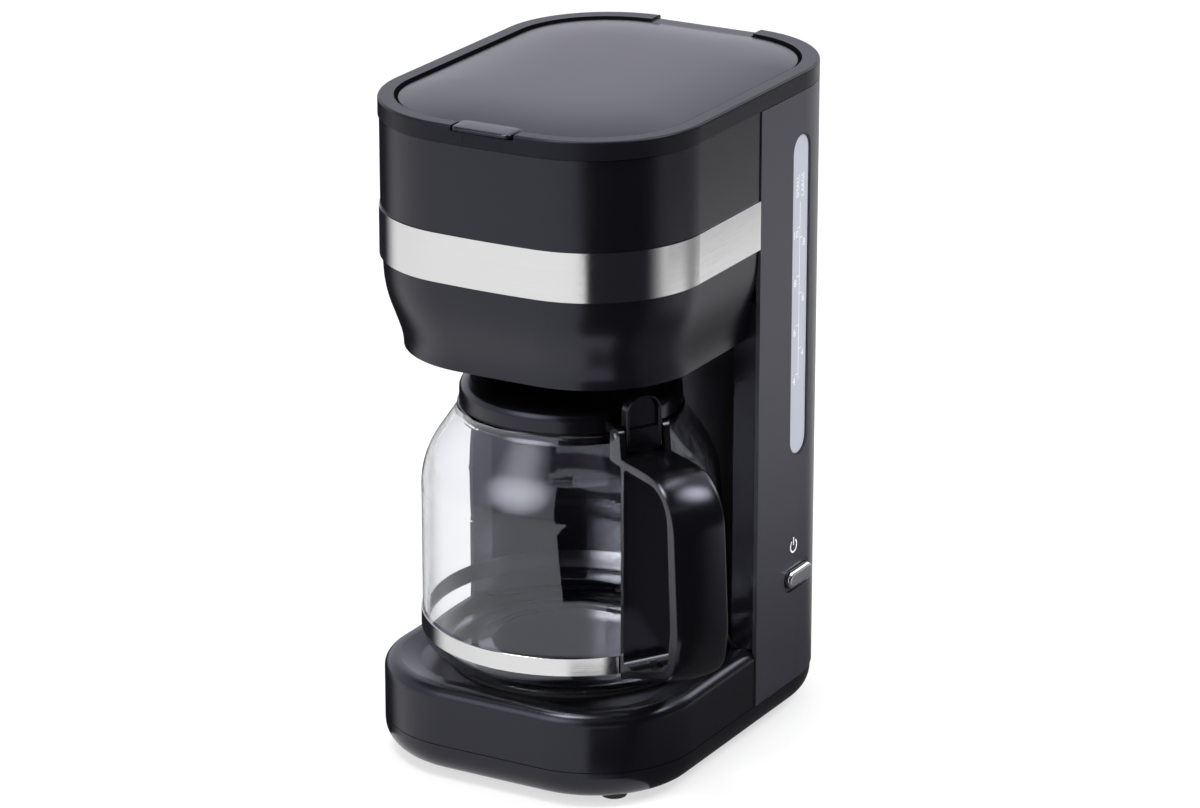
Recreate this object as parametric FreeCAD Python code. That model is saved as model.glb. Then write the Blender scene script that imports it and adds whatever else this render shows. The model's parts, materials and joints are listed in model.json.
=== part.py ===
import FreeCAD, Part
import math
import os

Vec = FreeCAD.Vector
UP = Vec(0, 0, 1)

# All sizes are millimetres. x runs to the right, y to the back and z up from the feet.

# Casing seen from above
body_width = 181.3
front_reach = 118.3
rear_reach = 125.0
front_corner_r = 64.0
rear_corner_r = 62.0
front_bow = 8.0
base_front_reach = 117.0
base_corner_r = 60.0
base_bow = 0.5
front_step = 0.7
seam_y = 13.0
wall = 2.4

# Heights above the table
foot_height = 3.0
cover_seam_z = 20.4
base_top_z = 52.4
head_bottom_z = 227.0
band_bottom_z = 278.2
band_height = 26.4
rim_seam_z = 353.2
rim_top_z = 363.0

# Clearances, and how far a cutter or a joined solid reaches past a face
past = 1.0
seam_gap = 0.4
seat_gap = 0.15
touch_gap = 0.3
pin_gap = 0.05

# Base, feet and cover
cover_round = 13.8
base_edge_r = 6.5
dish_depth = 2.9
dish_edge_inset = 9.0
dish_slope_run = 11.0
foot_r = 8.0
foot_bevel = 1.2
foot_stem_r = 3.2
foot_barb = 1.2
foot_barb_h = 2.5
foot_x = 59.0
foot_front_y = -86.0
foot_rear_y = 84.0
post_r = 5.0
post_front_y = -64.0
post_rear_x = 24.0
post_rear_inset = 26.0
post_rib_t = 2.0
post_top_z = 44.0
screw_r = 1.6
screw_head_r = 3.4
screw_head_h = 2.2
screw_boss_r = 6.0
screw_boss_h = 3.4
screw_length = 20.0
screw_bevel = 0.8
screw_slot_width = 0.8
screw_tip = 1.5
vent_count = 7
vent_length = 44.0
vent_width = 3.0
vent_pitch = 8.0

# Head: the lower part narrows in an S-curve below the steel band
head_side_inset = 7.5
head_front_inset = 11.5
head_groove = 0.5
head_low_bow = 3.0
head_low_corner_r = 60.0
head_curve = ((0.0, 0.0), (0.22, 0.07), (0.45, 0.28), (0.67, 0.64), (0.88, 0.94), (1.0, 1.0))
head_floor_z = 248.0
floor_thickness = 2.2
band_thickness = 0.5

# Column behind the jug
recess_r = 86.0
shelf_z = 140.0
shelf_thickness = 2.4

# Lid and rim
lid_inset = 10.5
lid_rear_inset = 12.6
lid_gap = 2.0
lid_edge_z = 361.6
lid_crown = 4.6
lid_bottom_z = 357.2
lid_wall = 2.2
lid_pillow = ((0.0, 0.0), (3.5, 0.30), (8.0, 0.535), (14.0, 0.766), (22.0, 0.926), (30.0, 0.985),
              (38.0, 0.999), (46.0, 1.0))
rim_edge_r = 1.4
ledge_width = 5.5
ledge_thickness = 2.6
skirt_depth = 6.0
skirt_thickness = 1.8
tab_half_width = 18.0
tab_overhang = 2.1
tab_thickness = 2.6
tab_top_z = 363.4
tab_corner_r = 4.0
tab_edge_r = 0.9
tab_gap = 0.6
scoop_r = 16.0
scoop_depth = 4.5
scoop_floor = 2.0
hinge_inset = 5.8
hinge_z = 358.6
hinge_half_width = 31.0
hinge_barrel_r = 3.6
hinge_pin_r = 1.5
hinge_pin_overhang = 6.0
hinge_floor = 0.8
liner_thickness = 1.8
shower_r = 50.0
shower_wall = 1.6
shower_bottom_z = 344.0
shower_hole_r = 1.5
shower_ring_holes = (6, 12)
channel_width = 16.0
channel_bottom_z = 348.0

# Water tank and its window
tank_gap = 1.4
tank_wall = 2.0
tank_front_y = 32.0
tank_arc_r = 92.0
tank_top_z = 344.0
window_inset = 65.7
window_width = 18.4
window_bottom_z = 151.0
window_top_z = 329.0
window_flange = 3.0
window_flange_t = 0.9
window_recess = 1.0
window_bevel = 0.8
pipe_x = 36.0
pipe_inset = 30.0
pipe_r = 3.6
pipe_bore_r = 2.6
hose_bore_r = 3.8
hose_r = 5.2
hose_bend_r = 14.0
hose_run_z = 18.0
riser_top_z = 346.5
valve_body_r = 7.5
valve_height = 14.0
valve_margin = 1.0
valve_spout = 2.0

# Jug stand and heater
plate_margin = 4.65
plate_lap = 4.0
plate_thickness = 1.4
plate_flange = 7.0
plate_slope = 3.0
plate_edge_r = 2.0
plate_top_z = 53.0
seal_thickness = 1.2
seal_lip = 1.0
tube_ring_r = 36.0
rod_ring_r = 46.5
tube_r = 5.2
rod_r = 4.2
heater_web = 3.0
leg_length = 24.0
barb_length = 12.0
clamp_width = 16.0
clamp_thickness = 1.6
clamp_overhang = 4.0
clamp_corner_r = 7.5
bolt_r = 2.5
nut_r = 4.6
nut_h = 4.0
bolt_end = 2.0
thermostat_r = 9.0
thermostat_h = 8.0
thermostat_rim = 2.0
thermostat_rim_h = 3.0
blade_width = 4.0
blade_length = 4.0
blade_thickness = 0.8
blade_spacing = 8.0
fuse_r = 2.6
fuse_length = 11.0
fuse_lead = 3.0
fuse_lead_r = 0.6

# Power button and cord gland
button_inset = 65.0
button_z = 80.5
button_length = 26.0
button_height = 9.5
button_proud = 2.6
button_travel = 2.0
button_shank_depth = 9.0
button_gap = 0.5
button_edge_r = 1.8
button_shank_length = 20.0
button_shank_height = 6.5
pocket_margin = 2.6
pocket_depth = 1.1
switch_depth = 18.0
switch_margin = 3.0
switch_setback = 1.7
switch_corner_r = 1.5
switch_blade_length = 7.0
switch_blade_width = 6.0
switch_blade_spacing = 16.0
gland_x = 0.0
gland_z = 36.0
gland_r = 6.0
gland_flange_r = 8.5
gland_flange_t = 2.0
gland_bore_r = 3.6
gland_depth = 9.0
gland_lip = 1.5
gland_lip_t = 2.0
gland_bevel = 0.6

# Filter basket
jug_y = -28.0
basket_top_z = 320.0
basket_r = 60.0
basket_low_r = 44.0
basket_wall = 2.0
basket_flange = 4.0
basket_flange_t = 2.4
basket_floor_rise = 4.0
basket_edge_r = 0.8
basket_low_round = 5.0
nozzle_r = 9.0
nozzle_bore_r = 3.0
nozzle_length = 8.0
basket_rib_count = 12
basket_rib_width = 1.6
basket_rib_depth = 2.4
basket_rib_drop = 12.0
basket_rib_slope = 3.0
basket_tab_width = 22.0
basket_tab_height = 9.0
basket_tab_t = 2.4
basket_tab_corner_r = 5.0
mesh_wall = 1.0
mesh_gap = 0.6
mesh_lip = 1.0
mesh_lip_t = 1.4
mesh_low_round = 4.0
mesh_bar_width = 8.0
mesh_bar_t = 2.2
mesh_bar_edge_r = 0.8

# Jug
glass_r = 79.8
glass_wall = 2.4
glass_bottom_z = plate_top_z + touch_gap
glass_bottom_round = 14.0
glass_kick = 1.5
glass_kick_r = 46.0
glass_kick_run = 8.0
glass_kick_round = 5.0
glass_lip_r = 1.0
shoulder_z = 160.7
shoulder_turn = 34.0
shoulder_round = 48.0
neck_r = 60.5
neck_round = 7.0
neck_top_z = 193.0
jug_band_z = 67.0
jug_band_height = 10.0
jug_band_t = 0.6
jug_band_edge_r = 0.25
jug_lid_r = 59.3
jug_lid_top_z = 206.0
jug_lid_round = 6.0
jug_lid_dish_r = 38.0
jug_lid_dish_run = 5.0
jug_lid_dish_round = 2.0
jug_lid_crest_round = 3.0
jug_lid_edge_r = 0.8
jug_lid_dish_z = 202.0
jug_lid_wall = 2.2
jug_lid_plug = 7.0
jug_lid_plug_gap = 1.0
jug_inlet_r = 8.0
handle_turn = -31.4
handle_width = 30.0
handle_gap = 0.9
handle_low_z = 62.0
handle_low_out = (138.0, 82.5)
handle_out = (142.5, 106.0)
handle_top_out = (136.0, 189.3)
handle_radii = (20.0, 40.0, 30.0)
grip_low_in = (96.0, 74.0)
grip_low_out = (129.6, 86.4)
grip_out = (132.8, 110.0)
grip_top_out = (128.0, 182.6)
grip_radii = (3.0, 8.0, 10.0, 34.0, 18.0, 3.0)
spine_thickness = 3.0
cover_strip = 2.6
handle_edge_r = 1.6
arm_inner_r = 69.0
ear_thickness = 3.4
ear_r = 4.6
ear_round = 4.4
ear_foot = 2.0
jug_hinge_r = 74.0
jug_hinge_z = 197.4
jug_pin_r = 1.6
jug_barrel_r = 3.4
lever_half_width = 10.4
lever_back = 1.0
lever_front = 4.2
lever_drop = 8.5
lever_rim = 1.8
lever_dip = 1.8
lever_top_z = 219.0
bridge_lap = 4.0
handle_screw_r = 1.6
handle_screw_head_r = 3.0
handle_screw_head_h = 2.0
handle_screw_length = 6.0
jug_pin_setback = 0.4
cover_setback = 6.0

half_width = body_width / 2
plate_r = half_width - dish_edge_inset - dish_slope_run - plate_margin
lid_rear_reach = rear_reach - lid_rear_inset
hinge_y = rear_reach - hinge_inset
tab_reach = front_reach + tab_overhang
window_y = rear_reach - window_inset
button_y = rear_reach - button_inset
pipe_y = rear_reach - pipe_inset
jug_axis = Vec(0, jug_y, 0)
big = 600.0


# Small helpers for outlines and solids

def line(a, b):
    return Part.LineSegment(a, b).toShape()


def arc(a, mid, b):
    return Part.Arc(a, mid, b).toShape()


def box(x0, x1, y0, y1, z0, z1):
    return Part.makeBox(x1 - x0, y1 - y0, z1 - z0, Vec(x0, y0, z0))


def rod(r, foot, length, axis=UP):
    return Part.makeCylinder(r, length, foot, axis)


def rounded_edges(points, radii):
    """Edges of a closed polygon whose corners are rounded by tangent arcs."""
    count = len(points)
    starts, ends, mids = [], [], []
    for i, corner in enumerate(points):
        back = (points[i - 1] - corner).normalize()
        ahead = (points[(i + 1) % count] - corner).normalize()
        half_angle = back.getAngle(ahead) / 2
        reach = radii[i] / math.tan(half_angle)
        inward = (back + ahead).normalize() if radii[i] else back
        starts.append(corner + back * reach)
        ends.append(corner + ahead * reach)
        mids.append(corner + inward * (radii[i] / math.sin(half_angle) - radii[i]))
    edges = []
    for i in range(count):
        if radii[i]:
            edges.append(arc(starts[i], mids[i], ends[i]))
        after = (i + 1) % count
        if (starts[after] - ends[i]).Length > 1e-6:
            edges.append(line(ends[i], starts[after]))
    return edges


def rounded_face(points, radii):
    return Part.Face(Part.Wire(rounded_edges(points, radii)))


def turned(profile, radii=None):
    """Solid of revolution about the z axis from (radius, height) corners."""
    points = [Vec(r, 0, z) for r, z in profile]
    face = rounded_face(points, radii or [0.0] * len(points))
    return face.revolve(Vec(0, 0, 0), UP, 360)


def moved(shape, offset):
    copy = shape.copy()
    copy.translate(offset)
    return copy


def pill(length, height, depth):
    """Slab with full-round ends, long side along y, its face at x = 0 and its depth towards -x."""
    a, r = length / 2 - height / 2, height / 2
    top = [Vec(0, -a, r), Vec(0, a, r)]
    low = [Vec(0, a, -r), Vec(0, -a, -r)]
    edges = [
        line(*top),
        arc(top[1], Vec(0, a + r, 0), low[0]),
        line(*low),
        arc(low[1], Vec(0, -a - r, 0), top[0]),
    ]
    return Part.Face(Part.Wire(edges)).extrude(Vec(-depth, 0, 0))


def filleted(shape, radius, wanted):
    edges = [e for e in shape.Edges if wanted(e)]
    return shape.makeFillet(radius, edges)


def level_edge(z):
    """Test for an edge that lies wholly at one height."""
    return lambda e: abs(e.BoundBox.ZMin - z) < 1e-4 and abs(e.BoundBox.ZMax - z) < 1e-4


def half_space(y0, front):
    if front:
        return box(-big, big, -big, y0, -big, big)
    return box(-big, big, y0, big, -big, big)


# Plan outlines of the casing

def nose_edges(z, half, front, corner_r, bow, inset):
    """Bowed front with its two round corners, from the left side to the right side."""
    bow_r = (half ** 2 + bow ** 2) / (2 * bow)
    bow_centre = Vec(0, bow_r - front, z)
    reach = half - corner_r
    corner = Vec(reach, bow_centre.y - math.sqrt((bow_r - corner_r) ** 2 - reach ** 2), z)
    out = (corner - bow_centre).normalize()
    diagonal = (out + Vec(1, 0, 0)).normalize()
    r = corner_r - inset
    side, middle, front_end = corner + Vec(r, 0, 0), corner + diagonal * r, corner + out * r
    nose = bow_centre - Vec(0, bow_r - inset, 0)

    def flip(p):
        return Vec(-p.x, p.y, p.z)

    return flip(side), [
        arc(flip(side), flip(middle), flip(front_end)),
        arc(flip(front_end), nose, front_end),
        arc(front_end, middle, side),
    ], side


def nose_wire(z, back_y, inset=0.0, half=half_width, front=front_reach, corner_r=front_corner_r, bow=front_bow):
    """Closed outline of a front moulding, straight across at the back."""
    left, edges, right = nose_edges(z, half, front, corner_r, bow, inset)
    back_right, back_left = Vec(right.x, back_y, z), Vec(left.x, back_y, z)
    return Part.Wire(edges + [line(right, back_right), line(back_right, back_left), line(back_left, left)])


def ring_wire(z, inset=0.0, front=front_reach, corner_r=front_corner_r, bow=front_bow, rear=rear_reach):
    """Closed outline of the whole casing."""
    left, edges, right = nose_edges(z, half_width, front, corner_r, bow, inset)
    cx, cy = half_width - rear_corner_r, rear - rear_corner_r
    r = rear_corner_r - inset
    d = r * math.sqrt(0.5)
    side_r, rear_r = Vec(cx + r, cy, z), Vec(cx, cy + r, z)
    side_l, rear_l = Vec(-cx - r, cy, z), Vec(-cx, cy + r, z)
    edges += [
        line(right, side_r),
        arc(side_r, Vec(cx + d, cy + d, z), rear_r),
        line(rear_r, rear_l),
        arc(rear_l, Vec(-cx - d, cy + d, z), side_l),
        line(side_l, left),
    ]
    return Part.Wire(edges)


def ring_solid(z0, z1, inset=0.0, **plan):
    return Part.Face(ring_wire(z0, inset, **plan)).extrude(Vec(0, 0, z1 - z0))


def nose_solid(z0, z1, back_y, inset=0.0, **plan):
    return Part.Face(nose_wire(z0, back_y, inset, **plan)).extrude(Vec(0, 0, z1 - z0))


base_plan = dict(front=base_front_reach, corner_r=base_corner_r, bow=base_bow)
lid_plan = dict(rear=lid_rear_reach + lid_inset)


def jug_disc(r, z0, z1):
    return rod(r, jug_axis + Vec(0, 0, z0), z1 - z0)


# Casing

def post_places():
    front_x = half_width - base_corner_r / 2
    rear_y = rear_reach - post_rear_inset
    front = [Vec(side * front_x, post_front_y, 0) for side in (-1, 1)]
    return front + [Vec(side * post_rear_x, rear_y, 0) for side in (-1, 1)]


cover_floor_z = foot_height + wall
screw_boss_z = cover_floor_z + screw_boss_h
screw_seat_z = foot_height + seat_gap + screw_head_h


def screw_post(place, top_z):
    z0 = screw_boss_z + seat_gap
    post = rod(post_r, place + Vec(0, 0, z0), top_z - z0)
    return post.cut(rod(screw_r + pin_gap, place + Vec(0, 0, z0), screw_length))


dish_z = base_top_z - dish_depth


def make_base_shell():
    low, top = cover_seam_z, base_top_z
    outer = nose_solid(low, top, seam_y, front_step, **base_plan)
    outer = filleted(outer, base_edge_r, lambda e: level_edge(top)(e) and e.BoundBox.YMin < seam_y - past)
    tongue = jug_disc(recess_r - seat_gap, post_top_z, top).common(half_space(seam_y - past, False))
    shell = outer.fuse(tongue)
    rim = nose_wire(top, big / 2, dish_edge_inset, **base_plan)
    floor = nose_wire(dish_z, big / 2, dish_edge_inset + dish_slope_run, **base_plan)
    shell = shell.cut(Part.makeLoft([rim, floor], True, True))
    hollow = nose_solid(low - past, post_top_z, seam_y + past, front_step + wall, **base_plan)
    shell = shell.cut(hollow)
    for place in post_places()[:2]:
        shell = shell.fuse(screw_post(place, post_top_z))
    return shell.cut(jug_disc(plate_r - plate_lap, 0, base_top_z)).removeSplitter()


def make_bottom_cover():
    top = cover_seam_z - seam_gap
    outer = ring_solid(foot_height, top, front_step, **base_plan)
    outer = filleted(outer, cover_round, level_edge(foot_height))
    inner = ring_solid(cover_floor_z, top + cover_round, front_step + wall, **base_plan)
    inner = filleted(inner, cover_round - wall, level_edge(cover_floor_z))
    cover = outer.cut(inner)
    for place in foot_places():
        cover = cover.cut(rod(foot_stem_r + seat_gap, place, cover_floor_z + past))
    for place in post_places():
        cover = cover.fuse(rod(screw_boss_r, place + Vec(0, 0, foot_height), screw_boss_z - foot_height))
        cover = cover.cut(rod(screw_r + seat_gap, place, screw_boss_z + past))
        cover = cover.cut(rod(screw_head_r + seat_gap, place, screw_seat_z))
    first = -(vent_count - 1) / 2 * vent_pitch
    slot = pill(vent_length, vent_width, 2 * wall)
    slot.rotate(Vec(0, 0, 0), Vec(0, 1, 0), 90)
    for i in range(vent_count):
        cover = cover.cut(moved(slot, Vec(first + i * vent_pitch, jug_y, foot_height - wall / 2)))
    return cover


def foot_places():
    return [Vec(sx * foot_x, y, 0) for y in (foot_front_y, foot_rear_y) for sx in (-1, 1)]


def make_feet():
    barb_z = cover_floor_z + seat_gap
    tip_z = barb_z + foot_barb_h
    foot = turned([
        (0, 0), (foot_r - foot_bevel, 0), (foot_r, foot_height), (foot_stem_r, foot_height),
        (foot_stem_r, barb_z), (foot_stem_r + foot_barb, barb_z), (foot_stem_r, tip_z), (0, tip_z)])
    return Part.makeCompound([moved(foot, place) for place in foot_places()])


def make_bottom_screws():
    low, seat = screw_seat_z - screw_head_h, screw_seat_z
    tip = screw_boss_z + screw_length - screw_tip
    screw = turned([
        (0, low), (screw_head_r - screw_bevel, low), (screw_head_r, low + screw_bevel), (screw_head_r, seat),
        (screw_r, seat), (screw_r, tip - screw_tip), (0, tip)])
    half_slot = screw_slot_width / 2
    screw = screw.cut(box(-big, big, -half_slot, half_slot, 0, low + screw_bevel))
    return Part.makeCompound([moved(screw, place) for place in post_places()])


def head_sections(inset):
    """Outlines of the S-curve below the band, from the band down."""
    wires = []
    for down, inward in head_curve:
        z = band_bottom_z + (head_bottom_z - band_bottom_z) * down
        wires.append(nose_wire(
            z, seam_y, inset,
            half=half_width - front_step - head_side_inset * inward,
            front=front_reach - front_step - head_front_inset * inward,
            corner_r=front_corner_r + (head_low_corner_r - front_corner_r) * inward,
            bow=front_bow + (head_low_bow - front_bow) * inward))
    return wires


def make_head_shell():
    top = rim_seam_z - seam_gap
    upper = nose_solid(band_bottom_z, top, seam_y, front_step)
    outer = upper.fuse(Part.makeLoft(head_sections(head_groove), True, False))
    bore = nose_solid(band_bottom_z, top + past, seam_y, front_step + wall)
    hollow = bore.fuse(Part.makeLoft(head_sections(head_groove + wall), True, False))
    floor_top = head_floor_z + floor_thickness
    slab = box(-big, big, -big, seam_y, head_floor_z, floor_top)
    shell = outer.cut(hollow.cut(slab))
    apron = jug_disc(recess_r + wall - seat_gap, head_floor_z, floor_top)
    apron = apron.common(half_space(seam_y - past, False))
    outlet = jug_disc(nozzle_r + touch_gap, head_floor_z - past, floor_top + past)
    return shell.fuse(apron).cut(outlet).removeSplitter()


def make_steel_band():
    top = band_bottom_z + band_height
    outer = nose_solid(band_bottom_z, top, seam_y)
    inner = nose_solid(band_bottom_z - past, top + past, seam_y + past, band_thickness)
    return outer.cut(inner)


def window_slot(margin, depth):
    length = window_top_z - window_bottom_z + 2 * margin
    slot = pill(length, window_width + 2 * margin, depth)
    slot.rotate(Vec(0, 0, 0), Vec(1, 0, 0), 90)
    slot.translate(Vec(0, window_y, (window_top_z + window_bottom_z) / 2))
    return slot


def make_rear_housing():
    low, top = cover_seam_z, rim_seam_z - seam_gap
    tube = ring_solid(low, top).cut(ring_solid(low - past, top + past, wall))
    shell = tube.common(half_space(seam_y + seat_gap, False))
    for place in post_places()[2:]:
        rib = box(place.x - post_rib_t / 2, place.x + post_rib_t / 2, place.y + post_r - past,
                  rear_reach - wall / 2, low + screw_boss_h, post_top_z)
        shell = shell.fuse([screw_post(place, post_top_z), rib])
    shell = shell.cut(moved(window_slot(0, 2 * wall), Vec(half_width + wall / 2, 0, 0)))
    bevel = window_slot(window_bevel, 2 * wall)
    shell = shell.cut(moved(bevel, Vec(half_width + 2 * wall - window_recess / 2, 0, 0)))
    seat = Vec(half_width, button_y, button_z)
    pocket = pill(button_length + 2 * pocket_margin, button_height + 2 * pocket_margin, 2 * pocket_depth)
    shell = shell.cut(moved(pocket, seat + Vec(pocket_depth, 0, 0)))
    hole = pill(button_length + 2 * button_gap, button_height + 2 * button_gap, 3 * wall)
    shell = shell.cut(moved(hole, seat + Vec(wall, 0, 0)))
    gland_hole = rod(gland_r + seat_gap, Vec(gland_x, rear_reach - 2 * wall, gland_z), 3 * wall, Vec(0, 1, 0))
    return shell.cut(gland_hole)


def make_column_front():
    y0, y1 = seam_y + seat_gap, seam_y + seat_gap + wall
    side = half_width - wall - seat_gap
    z0, z1 = base_top_z + seat_gap, head_floor_z - seat_gap
    ring = jug_disc(recess_r + wall, z0, z1).cut(jug_disc(recess_r, z0 - past, z1 + past))
    column = ring.common(half_space(y0, False))
    flats = box(-side, side, y0, y1, z0, z1).cut(jug_disc(recess_r + wall / 2, z0 - past, z1 + past))
    shelf = Part.Face(tank_wire(shelf_z, hollow_r=recess_r + wall / 2)).extrude(Vec(0, 0, shelf_thickness))
    for x in (-pipe_x, pipe_x):
        hole = rod(valve_body_r + valve_margin, Vec(x, pipe_y, shelf_z - past), shelf_thickness + 2 * past)
        shelf = shelf.cut(hole)
    return column.fuse([flats, shelf]).removeSplitter()


# Top rim and lid

def make_top_rim():
    low, top = rim_seam_z, rim_top_z
    ring = filleted(ring_solid(low, top), rim_edge_r, level_edge(top))
    opening = ring_solid(lid_bottom_z - touch_gap, top + past, lid_inset - lid_gap, **lid_plan)
    throat = ring_solid(low - past, top, lid_inset + ledge_width, **lid_plan)
    ring = ring.cut(opening).cut(throat)
    hollow = ring_solid(low - past, lid_bottom_z - touch_gap - ledge_thickness, wall + lid_gap)
    ring = ring.cut(hollow.cut(ring_solid(low - past, top, lid_inset - lid_gap - wall, **lid_plan)))
    skirt_inset = front_step + wall + seat_gap
    skirt_out = ring_solid(low - skirt_depth, low + past, skirt_inset)
    skirt_in = ring_solid(low - skirt_depth - past, low + 2 * past, skirt_inset + skirt_thickness)
    ring = ring.fuse(skirt_out.cut(skirt_in))
    notch_half = tab_half_width + tab_gap
    notch = box(-notch_half, notch_half, -big, -front_reach + lid_inset + lid_gap,
                tab_top_z - tab_thickness - tab_gap, big)
    scoop = rod(scoop_r, Vec(0, -front_reach + scoop_depth - scoop_r, low + scoop_floor), big)
    ring = ring.cut(notch).cut(scoop)
    gap = hinge_half_width + touch_gap
    ring = ring.cut(box(-gap, gap, lid_rear_reach - lid_gap, big, low + hinge_floor, big))
    pin_hole = rod(hinge_pin_r + pin_gap, Vec(-gap - hinge_pin_overhang, hinge_y, hinge_z),
                   2 * (gap + hinge_pin_overhang), Vec(1, 0, 0))
    return ring.cut(pin_hole).removeSplitter()


def lid_dome(inset, drop):
    """Pillow over the lid's outline: insets against heights, highest over the middle."""
    low = lid_edge_z - drop
    edge = lid_inset + inset
    wires = [ring_wire(low + lid_crown * rise, edge + run, **lid_plan) for run, rise in lid_pillow]
    return Part.makeLoft(wires, True, False)


def make_lid():
    body = ring_solid(lid_bottom_z, lid_edge_z, lid_inset, **lid_plan).fuse(lid_dome(0.0, 0.0))
    hollow = ring_solid(lid_bottom_z - past, lid_edge_z - lid_wall, lid_inset + lid_wall, **lid_plan)
    body = body.cut(hollow.fuse(lid_dome(lid_wall, lid_wall)))
    tab_back = -front_reach + lid_inset + lid_wall
    tab = box(-tab_half_width, tab_half_width, -tab_reach, tab_back, tab_top_z - tab_thickness, tab_top_z)
    tab = filleted(tab, tab_corner_r, lambda e: e.BoundBox.YMax < tab_back and e.BoundBox.ZLength > past)
    tab = filleted(tab, tab_edge_r, level_edge(tab_top_z))
    tongue = box(-hinge_half_width, hinge_half_width, lid_rear_reach - lid_wall, hinge_y, hinge_z, lid_edge_z)
    end = Vec(-hinge_half_width, hinge_y, hinge_z)
    barrel = rod(hinge_barrel_r, end, 2 * hinge_half_width, Vec(1, 0, 0))
    body = body.fuse([tab, tongue, barrel])
    return body.cut(rod(hinge_pin_r + pin_gap, end, 2 * hinge_half_width, Vec(1, 0, 0))).removeSplitter()


def make_lid_hinge_pin():
    reach = hinge_half_width + hinge_pin_overhang
    return rod(hinge_pin_r, Vec(-reach, hinge_y, hinge_z), 2 * reach, Vec(1, 0, 0))


def make_lid_liner():
    z0, z1 = lid_bottom_z, lid_bottom_z + liner_thickness
    plate = ring_solid(z0, z1, lid_inset + lid_wall + seat_gap, **lid_plan)
    cup = jug_disc(shower_r, shower_bottom_z, z0).cut(
        jug_disc(shower_r - shower_wall, shower_bottom_z + shower_wall, z0 + past))
    half = channel_width / 2
    y0, y1 = jug_y, pipe_y + half
    trough = box(-pipe_x - half, -pipe_x + half, y0, y1, channel_bottom_z, z0)
    bore = box(-pipe_x - half + shower_wall, -pipe_x + half - shower_wall, y0, y1 - shower_wall,
               channel_bottom_z + shower_wall, z0)
    inside = jug_disc(shower_r - shower_wall, shower_bottom_z + shower_wall, z0)
    liner = plate.fuse([cup, trough.cut(inside)]).cut(bore)
    inlet = rod(pipe_r + valve_margin, Vec(-pipe_x, pipe_y, channel_bottom_z - past), shower_wall + 2 * past)
    liner = liner.cut(inlet)
    for ring, count in enumerate(shower_ring_holes):
        r = shower_r * (ring + 1) / (len(shower_ring_holes) + 1)
        for i in range(count):
            turn = 2 * math.pi * i / count
            spot = jug_axis + Vec(r * math.cos(turn), r * math.sin(turn), shower_bottom_z - past)
            liner = liner.cut(rod(shower_hole_r, spot, shower_wall + 2 * past))
    return liner.removeSplitter()


# Water path

def tank_wire(z, inset=0.0, hollow_r=tank_arc_r):
    """Crescent outline: concave round the jug and basket, following the housing elsewhere."""
    half = half_width - wall - tank_gap - inset
    front = tank_front_y + inset
    arc_r = hollow_r + inset
    edge_x = math.sqrt(arc_r ** 2 - (front - jug_y) ** 2)
    rear_r = rear_corner_r - wall - tank_gap - inset
    cx, cy = half - rear_r, rear_reach - rear_corner_r
    d = rear_r * math.sqrt(0.5)
    return Part.Wire([
        line(Vec(-half, front, z), Vec(-edge_x, front, z)),
        arc(Vec(-edge_x, front, z), Vec(0, jug_y + arc_r, z), Vec(edge_x, front, z)),
        line(Vec(edge_x, front, z), Vec(half, front, z)),
        line(Vec(half, front, z), Vec(half, cy, z)),
        arc(Vec(half, cy, z), Vec(cx + d, cy + d, z), Vec(cx, cy + rear_r, z)),
        line(Vec(cx, cy + rear_r, z), Vec(-cx, cy + rear_r, z)),
        arc(Vec(-cx, cy + rear_r, z), Vec(-cx - d, cy + d, z), Vec(-half, cy, z)),
        line(Vec(-half, cy, z), Vec(-half, front, z)),
    ])


tank_floor_z = shelf_z + shelf_thickness + seat_gap


def make_water_tank():
    outer = Part.Face(tank_wire(tank_floor_z)).extrude(Vec(0, 0, tank_top_z - tank_floor_z))
    inner = Part.Face(tank_wire(tank_floor_z + tank_wall, tank_wall)).extrude(Vec(0, 0, tank_top_z))
    tank = outer.cut(inner)
    for x in (-pipe_x, pipe_x):
        tank = tank.cut(rod(pipe_r + seat_gap, Vec(x, pipe_y, tank_floor_z - past), tank_wall + 2 * past))
    return tank


def make_level_window():
    low, top = window_bottom_z - 2 * window_flange, window_top_z + 2 * window_flange

    def skin(outer, inner):
        return ring_solid(low, top, outer).cut(ring_solid(low - past, top + past, inner))

    back = wall + seat_gap
    reach = Vec(half_width + wall, 0, 0)
    pane = skin(window_recess, back + window_flange_t).common(moved(window_slot(-seat_gap, 4 * wall), reach))
    flange = skin(back, back + window_flange_t).common(moved(window_slot(window_flange, 4 * wall), reach))
    return pane.fuse(flange).removeSplitter()


def make_riser_tube():
    foot = Vec(-pipe_x, pipe_y, shelf_z - valve_height)
    tube = rod(pipe_r, foot, riser_top_z - foot.z)
    collar = rod(valve_body_r, Vec(-pipe_x, pipe_y, shelf_z), tank_floor_z - shelf_z - seat_gap)
    return tube.fuse(collar).cut(rod(pipe_bore_r, foot - UP, big)).removeSplitter()


def make_check_valve():
    top = tank_floor_z - seat_gap
    body = rod(valve_body_r, Vec(pipe_x, pipe_y, shelf_z), top - shelf_z)
    stem_z = shelf_z - valve_height
    stem = rod(pipe_r, Vec(pipe_x, pipe_y, stem_z), tank_floor_z + tank_wall + valve_spout - stem_z)
    return body.fuse(stem).cut(rod(pipe_bore_r, Vec(pipe_x, pipe_y, stem_z - past), big)).removeSplitter()


plate_under_z = plate_top_z - plate_thickness
tube_z = plate_under_z - seat_gap - tube_r
barb_y = jug_y + leg_length - tube_r
barb_low_z = tube_z - tube_r - barb_length


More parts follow.
